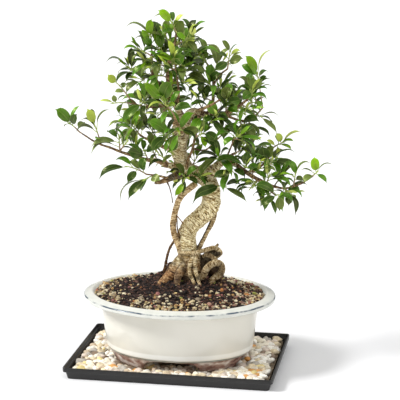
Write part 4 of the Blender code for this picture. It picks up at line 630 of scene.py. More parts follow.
LIMBS = {
    "right_upper": (
        (7, 320, 0, 6.5), (13, 334, -2, 6), (22, 337, -4, 5.2), (33, 334, -6, 4.6),
        (46, 334, -8, 4), (60, 335, -9, 3.3), (70, 339, -11, 2.6), (79, 346, -13, 2.1),
        (88, 353, -15, 1.7),
    ),
    "right_upper_back": (
        (56, 334, -9, 2.2), (68, 329, 2, 2), (78, 325.5, 10, 1.8), (88, 326, 16, 1.6),
        (97, 331, 21, 1.4), (107, 342, 26, 1.2),
    ),
    "left_up": (
        (6, 320, 0, 6), (0, 338, 3, 5.3), (-8, 352, 6, 4.6), (-18, 364, 8, 4), (-27, 374, 9, 3.3),
        (-33, 386, 8, 2.6), (-34, 400, 7, 2), (-34, 414, 6, 1.5),
    ),
    "apex": (
        (-6, 349, 5, 4), (-11, 362, 2, 3.4), (-14, 378, -1, 3), (-14, 394, -3, 2.6),
        (-10, 409, -4, 2.1), (-5, 424, -5, 1.7), (-3, 438, -6, 1.3),
    ),
    "inner_upright": ((-3, 342, 2, 2.2), (0, 360, -8, 1.8), (-2, 378, -13, 1.4), (-4, 391, -16, 1.1)),
    "right_upright": (
        (37, 334, -7, 2.9), (43, 348, 1, 2.6), (44, 362, 8, 2.3), (44, 374, 13, 2),
        (44, 386, 17, 1.6), (38, 396, 20, 1.3),
    ),
    "right_upright_side": ((44, 371, 12, 1.7), (52, 384, 6, 1.5), (62, 392, 1, 1.2)),
    "lower_right": (
        (40, 244, -3, 6), (47, 261, -9, 5.2), (57, 271, -13, 4.6), (69, 270, -17, 4.2),
        (81, 262, -20, 3.7), (92, 254, -22, 3.2), (103, 248, -24, 2.8), (113, 243, -25, 2.4),
        (123, 239, -26, 2), (136, 236.5, -27, 1.7), (148, 239, -28, 1.5), (160, 244, -29, 1.3),
        (172, 252, -30, 1.1),
    ),
    "lower_right_up": (
        (87, 257, -21, 2.5), (100, 262, -8, 2.2), (110, 270, 3, 1.9), (117, 280, 10, 1.6),
        (121, 290, 14, 1.3),
    ),
    "lower_right_front": (
        (98, 250, -23, 2), (108, 242, -30, 1.7), (118, 233, -36, 1.4), (125, 227, -40, 1.1),
    ),
    "lower_left": (
        (4, 264, 2, 6), (-8, 266, -4, 5), (-18, 268, -8, 4.2), (-28, 273, -11, 3.6),
        (-40, 274, -13, 3), (-52, 277, -15, 2.6), (-64, 281, -17, 2.3), (-76, 285, -19, 2),
        (-88, 290, -21, 1.8), (-100, 294, -22, 1.6), (-110, 299, -23, 1.4), (-119, 305, -24, 1.2),
        (-128, 311, -25, 1.1),
    ),
    "cut_stub": (
        (6, 258, 0, 6), (-7, 252, -6, 5.2), (-16, 248, -10, 4.4), (-24, 245, -13, 3.4),
        (-31, 243.5, -15, 2.2),
    ),
    "left_hanging": ((-12, 249, -9, 2.4), (-22, 252, -15, 1.7), (-32, 254, -20, 1.4), (-42, 255, -25, 1.2)),
    "left_middle": (
        (3, 299, 2, 2.6), (-12, 299, 10, 1.9), (-28, 300, 17, 1.6), (-41, 302, 22, 1.3), (-50, 306, 25, 1.1),
    ),
    "left_upper": (
        (-5, 347, 4, 2.6), (-20, 344, -5, 2), (-38, 343, -12, 1.6), (-53, 346, -17, 1.3),
        (-63, 354, -20, 1.1),
    ),
    "left_top": ((-32, 383, 8, 2), (-43, 381, 14, 1.5), (-54, 386, 19, 1.1)),
    "front_middle": (
        (4, 304, -2, 4), (4, 309, -18, 3.2), (0, 317, -36, 2.5), (-4, 326, -52, 1.9), (-7, 334, -64, 1.4),
    ),
    "front_right": ((20, 337, -4, 3.2), (31, 341, -22, 2.4), (42, 346, -38, 1.9), (52, 352, -50, 1.4)),
    "back_left": ((0, 280, 4, 4.4), (-12, 287, 22, 3.4), (-28, 295, 40, 2.6), (-44, 303, 56, 1.8)),
    "back_middle": ((1, 296, 3, 4.4), (-2, 304, 20, 3.6), (-5, 316, 38, 2.8), (-8, 330, 56, 2)),
    "back_right": ((8, 324, 2, 4), (20, 330, 20, 3.4), (34, 334, 38, 2.6), (50, 338, 56, 1.8)),
    "back_upper": ((-12, 360, 6, 3), (-8, 373, 22, 2.5), (-2, 386, 36, 2), (4, 398, 48, 1.5)),
    "back_low_right": ((28, 253, 4, 4.8), (40, 263, 22, 3.8), (56, 274, 40, 2.8), (74, 284, 56, 1.9)),
    "rising_root": (
        (9, 262, -5, 2.4), (12, 275, -10, 2), (17, 287, -11, 2), (20, 301, -11, 2),
        (24, 320, -9, 2), (26, 336, -5, 2),
    ),
    "thin_right": ((18, 289, -11, 1.6), (34, 287, -8, 1.4), (48, 300, -4, 1.2), (62, 313, 0, 1)),
    "thin_right_low": ((59, 272, -14, 1.6), (66, 289, -20, 1.3), (71, 302, -24, 1)),
}

ROOTS = {
    "aerial_left": (
        (22, 243, -8, 4.4), (8, 232, -12, 4.1), (0, 222, -12, 4.1), (-4, 210, -11, 4.1),
        (-6.8, 199, -10, 4.1), (-8, 189, -9, 4.2), (-7.5, 180, -8, 4.2), (-5, 171, -8, 4.4),
        (-1.5, 163, -8, 4.8), (2, 152, -7, 5), (4, 141, -6, 4.6),
    ),
    "aerial_dark": ((-4, 205, -11, 1), (-3, 196, -14, 0.8), (-2.5, 184, -14, 0.8), (0, 171, -11, 1)),
    "aerial_link": ((-4, 201, -11, 0.8), (1, 195, -9, 0.7), (6, 188, -8, 0.8)),
    "aerial_low_left": (
        (-3, 167, -8, 2.2), (-8, 164, -7, 1.8), (-13, 155, -6, 1.7), (-16, 145, -5, 1.7),
        (-18, 135, -4, 1.9), (-20, 124, -3, 2.1),
    ),
    "aerial_right": (
        (44, 227, 0, 3.4), (47, 214, 0, 3.2), (46.4, 203, -1, 3.2), (43.4, 193, -2, 3.2),
        (38.8, 183, -3, 3.1), (33.8, 173, -4, 3), (28.8, 163, -5, 3.1), (24, 152, -6, 3.4),
    ),
    "wrap_upper": (
        (-1, 152, -9, 3), (8, 150, -13, 3), (18, 150, -14, 3), (28, 152, -13, 3), (37, 155, -11, 3),
        (45, 157, -8, 3), (52, 154, -5, 3), (54, 149, -3, 2.6), (49, 145, -2, 2.6),
        (41, 146, -3, 3), (30, 146, -4, 3),
    ),
    "knob": ((46, 156, -8, 2.4), (49.5, 160, -8, 2), (50.5, 162.5, -8, 1.4)),
    "loop": (
        (24, 116, -10, 5), (31, 119, -15, 4.7), (34.5, 126.5, -18, 4.7), (40, 133, -19, 4.7),
        (47.5, 136.5, -19, 4.7), (54, 134.5, -17, 4.6), (56.5, 128.5, -15, 4.4), (53.5, 121.5, -14, 4.3),
        (46.5, 116.5, -14, 4.3), (40.5, 109, -14, 4.1), (38, 94, -13, 3.8),
    ),
    "loop_link": ((32, 148, -8, 3.2), (40, 146, -11, 3.2), (46, 141.5, -14, 3.2), (50, 136, -16, 3.2)),
    "front_left": (
        (19, 146, -12, 2.8), (14.5, 137, -16, 2.6), (13, 128, -18, 2.5), (14, 120, -19, 2.4),
        (17.5, 113, -21, 2.4), (20.5, 104, -23, 2.2), (21, 94, -24, 2),
    ),
    "front_right": (
        (24, 150, -10, 2.8), (20.5, 140, -15, 2.7), (20.5, 130, -18, 2.7), (22, 122, -19, 2.7),
        (24.5, 114, -20, 2.6), (27, 104, -22, 2.4), (28, 94, -23, 2.2),
    ),
    "buttress_left": (
        (10, 146, -2, 10), (3, 137, -3, 10.4), (-5, 128, -5, 9.6), (-13, 118, -8, 8.2),
        (-22, 109, -11, 6.2), (-31, 99, -14, 4.2), (-38, 90, -15, 3),
    ),
    "buttress_front_left": ((6, 134, -8, 7), (0, 122, -14, 5.6), (-3, 110, -20, 4), (-5, 97, -25, 2.8)),
    "buttress_back_left": ((6, 134, 6, 8), (-3, 122, 16, 6), (-12, 113, 26, 4.4), (-20, 102, 34, 3)),
    "buttress_back": ((16, 134, 8, 8), (20, 122, 20, 6.2), (25, 113, 32, 4.4), (29, 102, 42, 3)),
    "buttress_right": (
        (20, 142, 3, 10), (30, 134, 5, 10.4), (39, 125, 7, 9.6), (46, 115, 9, 7.6), (53, 103, 12, 5),
        (58, 92, 14, 3.4),
    ),
    "hanging_thread": (
        (-16, 246, -10, 1.2), (-12.5, 238, -12, 0.8), (-10, 228, -12, 0.6), (-8.5, 218, -11, 0.7),
    ),
}

# How brown each root is against the trunk's khaki, and how much painted shade darkens the hidden ones.
ROOT_TINTS = {
    "aerial_left": 0.5, "buttress_left": 0.95, "buttress_front_left": 0.8, "buttress_back_left": 0.8,
    "buttress_right": 0.5, "loop": 0.35, "loop_link": 0.4, "wrap_upper": 0.3, "knob": 0.3, "front_left": 0.25,
    "front_right": 0.25, "aerial_right": 0.35,
}
ROOT_SHADES = {
    "buttress_right": 0.88, "buttress_back": 0.75, "buttress_back_left": 0.6, "buttress_front_left": 0.78,
    "buttress_left": 0.4, "loop": 0.42, "loop_link": 0.5, "wrap_upper": 0.22, "knob": 0.35, "front_left": 0.2,
    "front_right": 0.2, "aerial_right": 0.2,
}
THIN_ROOTS = ("aerial_low_left", "aerial_dark", "aerial_link", "hanging_thread")
# A burl on the upper trunk, and a mass of wood that fills the opening behind the looped root, painted dark as
# shade.
BURL = ((-3, 320, -2, 7), (0, 311, -4, 9.2), (2, 302, -4, 8.6), (3, 294, -2, 7))
HOLLOW = (
    (51.5, 151, -3, 4.4), (44, 150, -2, 5), (36, 145, 0, 6.5), (41, 139, -3, 8), (47, 130, -4, 8.5),
    (50, 118, -1, 7), (50, 106, 2, 6),
)
# The first of the thick routes that is a root, after the trunk, the burl and the hollow.
FIRST_ROOT = 3
# The finest detail of the fused wood, and the radius of the thinnest branch that is fused into it,
# in millimetres.
VOXEL = 0.93
LEAST_FUSED = 2.2
# How far apart the trunk's cross ridges lie, and the branches' knuckles, in millimetres.
RIDGE_PITCH = 2.3
KNUCKLE_PITCH = 11
# How far knobs, lumps, pits and cross ridges stand out, in millimetres.
KNOB_HEIGHT = 1.2
LUMP_HEIGHT = 0.85
PIT_HEIGHT = 0.42
RIDGE_HEIGHT = 0.22


def seen(x, z, depth):
    """The place on the object of a point that shows at x and z from the front, at this depth."""
    spread = 1 + depth / VIEW_DISTANCE
    side = VIEW_SIDE + (x - VIEW_SIDE) * spread
    height = VIEW_HEIGHT + (z - VIEW_HEIGHT) * spread - depth * VIEW_SLOPE
    return FRONT_TURN @ Vector((side, depth, height)) * MM


def curve_through(rows, steps):
    """Points (place, radius) on a smooth curve through the rows, steps to each span."""
    knots = [np.array([*seen(x, z, depth), radius * MM]) for x, z, depth, radius in rows]
    knots = [2 * knots[0] - knots[1]] + knots + [2 * knots[-1] - knots[-2]]
    made = []
    for a, b, c, d in zip(knots, knots[1:], knots[2:], knots[3:]):
        for step in range(steps):
            t = step / steps
            curved = (2 * a - 5 * b + 4 * c - d) * t * t + (3 * b - a - 3 * c + d) * t**3
            made.append(0.5 * (2 * b + (c - a) * t + curved))
    made.append(knots[-2])
    return [(Vector(row[:3]), max(float(row[3]), 0.2 * MM)) for row in made]


def pipe(route, sides):
    """Points and faces of a closed tube along the route, and how far along it each point lies."""
    points, ways = [], []
    across = (route[1][0] - route[0][0]).orthogonal().normalized()
    travelled = 0
    for index, (place, radius) in enumerate(route):
        before = route[max(index - 1, 0)][0]
        after = route[min(index + 1, len(route) - 1)][0]
        heading = (after - before).normalized()
        across = (across - heading * across.dot(heading)).normalized()
        other = heading.cross(across)
        travelled += (place - before).length
        for side in range(sides):
            angle = 2 * math.pi * side / sides
            points.append(place + (across * math.cos(angle) + other * math.sin(angle)) * radius)
            ways.append(travelled)
    faces = ring_faces(len(route), sides)
    faces.append(tuple(range(sides))[::-1])
    faces.append(tuple(range(len(points) - sides, len(points))))
    return points, faces, ways


def nearest_wood(points, routes):
    """For each point the way along the nearest route, how near a second one lies, and which it is."""
    first = np.full(len(points), 1e9)
    second = np.full(len(points), 1e9)
    way = np.zeros(len(points))
    which = np.zeros(len(points), dtype=int)
    for index, route in enumerate(routes):
        best = np.full(len(points), 1e9)
        along = np.zeros(len(points))
        travelled = 0.0
        for (start, radius_a), (end, radius_b) in zip(route, route[1:]):
            a, b = np.array(start), np.array(end)
            length = float(np.linalg.norm(b - a))
            share = np.clip((points - a) @ (b - a) / length**2, 0, 1)
            off_axis = np.linalg.norm(points - a - share[:, None] * (b - a), axis=1)
            gap = off_axis - (radius_a + share * (radius_b - radius_a))
            nearer = gap < best
            best[nearer] = gap[nearer]
            along[nearer] = travelled + share[nearer] * length
            travelled += length
        closer = best < first
        second = np.where(closer, first, np.minimum(second, best))
        way[closer] = along[closer]
        which[closer] = index
        first = np.minimum(first, best)
    return way, second - first, which


def below(height, fade):
    """For each point of the wood 0 above the height, rising to 1 at fade millimetres below it."""
    return np.clip((height * MM - places[:, 2]) / (fade * MM), 0, 1)


thick_names = [name for name in ROOTS if name not in THIN_ROOTS]
thick_routes = [curve_through(TRUNK, 5), curve_through(BURL, 4), curve_through(HOLLOW, 4)]
thick_routes += [curve_through(ROOTS[name], 5) for name in thick_names]
tints = [0.0, 0.0, 0.9] + [ROOT_TINTS.get(name, 0.0) for name in thick_names]
shades = [0.0, 0.0, 0.9] + [ROOT_SHADES.get(name, 0.0) for name in thick_names]
for name, rows in LIMBS.items():
    stump = [row for row in rows if row[3] >= LEAST_FUSED]
    if len(stump) > 1:
        route = curve_through(stump, 5)
        ends = len(route) - 1
        route = [(place, radius * (0.97 - 0.3 * i / ends)) for i, (place, radius) in enumerate(route)]
        thick_routes.append(route)
        tints.append(0.0)
        shades.append(0.8 if name == "cut_stub" else 0.0)

tube_points, tube_faces = [], []
for route in thick_routes:
    points, faces, _ = pipe(route, 20 if route[0][1] > 10 * MM else 12)
    tube_faces += [tuple(i + len(tube_points) for i in face) for face in faces]
    tube_points += points
rough = mesh_object("rough_wood", tube_points, tube_faces, [])
fuse = rough.modifiers.new("fuse", "REMESH")
fuse.mode = "VOXEL"
fuse.voxel_size = VOXEL * MM
soften = rough.modifiers.new("soften", "SMOOTH")
soften.factor = 0.5
soften.iterations = 3
fused = rough.evaluated_get(bpy.context.evaluated_depsgraph_get()).to_mesh()
count = len(fused.vertices)
places = np.empty(count * 3, dtype=np.float32)
normals = np.empty(count * 3, dtype=np.float32)
fused.vertices.foreach_get("co", places)
fused.vertices.foreach_get("normal", normals)
places = places.reshape(-1, 3).astype(float)
normals = normals.reshape(-1, 3).astype(float)
wood_faces = [tuple(face.vertices) for face in fused.polygons]
bpy.data.objects.remove(rough)

# How dark each point is. Painted shade darkens the creases between roots, the hidden roots where
# they face the front, the roots' lower sides, the trunk's foot between them, the right aerial root's
# left side and the trunk under the crown. Soil splashed on the foot and blotches on the roots are
# real stains.
way, seam, which = nearest_wood(places, thick_routes)
on_trunk = which == 0
on_root = which > 1
foot = below(154, 20)
# Painted shade in the creases where two pieces of wood meet, deeper towards the foot.
painted_shade_and_stain = np.exp(-np.clip(seam, 0, None) / (2.2 * MM)) * 0.9 * (0.42 + 0.58 * foot)
# Painted shade on the hidden roots, most on their sides that face the front.
facing_front = np.clip(0.5 - 0.8 * normals[:, 1], 0.2, 1)
root_shade = np.array(shades)[which] * facing_front
front_buttress = which == FIRST_ROOT + thick_names.index("buttress_front_left")
root_shade[front_buttress] *= np.maximum(below(140, 18), 0.3)[front_buttress]
# Painted shade on the trunk under the crown.
crown_shade = 0.2 * (1 - below(280, 30))
painted_shade_and_stain = np.maximum.reduce([painted_shade_and_stain, root_shade, crown_shade])
# Painted shade on the trunk's foot between the roots, on the roots' lower sides and on the right aerial
# root's left side.
hollow = below(132, 10) * on_trunk * 0.85
splashed = below(124, 16) * 0.8
underside = np.clip(0.15 - normals[:, 2], 0, 1) * 0.75 * on_root * below(126, 18)
right_aerial = which == FIRST_ROOT + thick_names.index("aerial_right")
shaded_side = np.clip(0.15 - normals[:, 0] * 1.4, 0, 1) * right_aerial
painted_shade_and_stain = np.maximum.reduce([painted_shade_and_stain, hollow, underside, shaded_side])
patch_share = on_root * below(158, 20)
brownness = np.array(tints)[which]
low_wood = 0.85 * below(126, 18)

# Knobs about 14 mm across, lumps of 5 mm and pits of 2 mm, with rows of cross ridges.
swell = np.empty(count)
for index, place in enumerate(places):
    spot = Vector(place)
    knob = noise.noise(spot * 70)
    lump = noise.noise(spot * 190 + Vector((7, 0, 0)))
    pit = noise.noise(spot * 520)
    wave = way[index] / (RIDGE_PITCH * MM) + 2.6 * noise.noise(spot * 150)
    ridge = math.sin(2 * math.pi * wave) * (0.4 + 0.9 * noise.noise(spot * 120 + Vector((0, 9, 0))))
    height = KNOB_HEIGHT * knob + LUMP_HEIGHT * lump + PIT_HEIGHT * pit + RIDGE_HEIGHT * ridge
    swell[index] = height * (0.45 + 0.55 * on_trunk[index])
    blot = min(1.25, 0.3 + 1.4 * abs(noise.noise(spot * 140 + Vector((0, 0, 5)))))
    patch = min(0.8, max(0.0, 0.12 + 1.5 * noise.noise(spot * 150 + Vector((3, 0, 0)))))
    painted_shade_and_stain[index] = max(painted_shade_and_stain[index], splashed[index] * blot, patch * patch_share[index])
places += normals * (swell * MM)[:, None]
brownness = np.where(brownness > 0.6, brownness * below(144, 16), brownness)
brownness = np.where(on_trunk, 0.7 * foot, brownness)
brownness = np.maximum(brownness, low_wood)

thin_points, thin_faces, thin_way, thin_slots, thin_dirt = [], [], [], [], []
for name, rows in list(LIMBS.items()) + [(name, ROOTS[name]) for name in THIN_ROOTS]:
    slim = 1.0 if name in THIN_ROOTS else 0.84
    route = curve_through(rows, 8)
    travelled, knuckled = 0.0, []
    for index, (place, radius) in enumerate(route):
        travelled += (place - route[max(index - 1, 0)][0]).length
        from_joint = (travelled / MM + 3) % KNUCKLE_PITCH - KNUCKLE_PITCH / 2
        wobble = 0.1 * noise.noise(place * 260)
        knuckle = 0.16 * math.exp(-(from_joint / 1.5) ** 2)
        knuckled.append((place, radius * slim * (0.97 + knuckle + wobble)))
    heading = (knuckled[-1][0] - knuckled[-2][0]).normalized()
    knuckled.append((knuckled[-1][0] + heading * 1.2 * MM, 0.25 * MM))
    points, faces, ways = pipe(knuckled, 12)
    thin_faces += [tuple(i + len(thin_points) for i in face) for face in faces]
    thin_points += points
    thin_way += [along / MM for along in ways]
    thin_slots += [0 if name in THIN_ROOTS else 1] * len(faces)
    thin_dirt += [0.3 if name == "aerial_link" or name in LIMBS else 0.75] * len(points)


def cross_grain(owner, length, width):
    """Short flecks that lie across the wood, with their size along it and round it in millimetres."""
    along = add_node(owner, "Attribute", output="Fac", attribute_name="along")
    drift = add_node(owner, "Math", {0: speckle(owner, 11, 3), 1: 7.0}, operation="MULTIPLY")
    drifted = add_node(owner, "Math", {0: along, 1: drift}, operation="ADD")
    scaled = add_node(owner, "Math", {0: drifted, 1: 1 / length}, operation="MULTIPLY")
    band = add_node(owner, "CombineXYZ", {"X": scaled})
    spot = add_node(owner, "TexCoord", output="Object")
    round_scale = [1 / (width * MM)] * 3
    side = add_node(owner, "VectorMath", {0: spot, 1: round_scale}, operation="MULTIPLY")
    place = add_node(owner, "VectorMath", {0: band, 1: side}, operation="ADD")
    return add_node(owner, "TexNoise", {"Vector": place, "Scale": 1.0, "Detail": 3.0}, "Fac")


# Living bark, dry and nearly matt: khaki with pale flecks on the trunk, browner on the roots and the
# foot. The flecks are drawn 1 mm long and 3.5 mm round the wood, coarser than the real pores, so
# that they show.
bark = new_material("ficus bark")
grain = cross_grain(bark, 0.9524, 3.509)
pores = add_node(bark, "Mix", {"Factor": 0.22, "A": grain, "B": speckle(bark, 2.4, 4)}, "Result")
khaki = add_node(bark, "ValToRGB", {"Fac": pores}, stops=(
    (0.36, "#4A3618"), (0.435, "#957843"), (0.49, "#CDB67C"), (0.55, "#FFF4CC"),
))
brown = add_node(bark, "ValToRGB", {"Fac": pores}, stops=(
    (0.37, "#341E10"), (0.45, "#7E4E2A"), (0.53, "#BC8850"), (0.64, "#E8C28C"),
))
how_brown = add_node(bark, "Attribute", output="Fac", attribute_name="brownness")
tinted = add_node(bark, "Mix", {0: how_brown, 6: khaki, 7: brown}, 2, data_type="RGBA")
pale_patches = add_node(bark, "ValToRGB", {"Fac": speckle(bark, 13, 4)}, stops=(
    (0.3, (0.54, 0.49, 0.4, 1)), (0.52, (1.07, 1.07, 1.07, 1)),
))
patched = add_node(
    bark, "Mix", {0: 1.0, 6: tinted, 7: pale_patches}, 2, data_type="RGBA", blend_type="MULTIPLY"
)
# Painted shade in the creases and hollows and on hidden and lower sides, with soil stains and the dark thin
# roots, darkens the bark towards a near black brown.
how_dark = add_node(bark, "Attribute", output="Fac", attribute_name="painted_shade_and_stain")
darkened = add_node(bark, "Mix", {0: how_dark, 6: patched, 7: "#21150D"}, 2, data_type="RGBA")
relief = {"Height": pores, "Strength": 1.0, "Distance": 0.7 * MM}
set_surface(bark, {
    "Base Color": darkened, "Roughness": 0.7, "Specular IOR Level": 0.3,
    "Normal": add_node(bark, "Bump", relief),
})

# Bark of the last years, thinner and greyer brown, with dark weathered stretches. Its flecks are
# drawn coarser too, 2 mm long.
young_bark = new_material("young branch bark")
bands = cross_grain(young_bark, 2, 3.3333)
branch = add_node(young_bark, "ValToRGB", {"Fac": bands}, stops=(
    (0.34, "#402E1A"), (0.46, "#785A38"), (0.58, "#A88A5E"), (0.7, "#D0B888"),
))
weather = add_node(young_bark, "ValToRGB", {"Fac": speckle(young_bark, 18, 3)}, stops=(
    (0.5, (0, 0, 0, 1)), (0.68, (0.75, 0.75, 0.75, 1)),
))
weathered = add_node(young_bark, "Mix", {0: weather, 6: branch, 7: "#3E2E22"}, 2, data_type="RGBA")
relief = {"Height": bands, "Strength": 1.0, "Distance": 0.45 * MM}
set_surface(young_bark, {
    "Base Color": weathered, "Roughness": 0.7, "Specular IOR Level": 0.3,
    "Normal": add_node(young_bark, "Bump", relief),
})
wood = mesh_object(
    "tree_wood",
    np.concatenate([places, np.array([p[:] for p in thin_points])]),
    wood_faces + [tuple(i + count for i in face) for face in thin_faces],
    [bark, young_bark], [0] * len(wood_faces) + thin_slots,
    values={
        "along": np.concatenate([way / MM, thin_way]),
        "brownness": np.concatenate([brownness, np.ones(len(thin_points))]),
        "painted_shade_and_stain": np.concatenate([painted_shade_and_stain, thin_dirt]),
    },
)
on_frame(wood, "bark", "tree")


# The leafy sprays: this year's shoots, each a green twig sunk into its limb and brown at its base.
# Each bears the leaves that the photograph shows, a bud at its tip, and on the denser ones a few
# leaves more. Leaves are elliptic with a drip tip, and folded a little along a pale midrib.

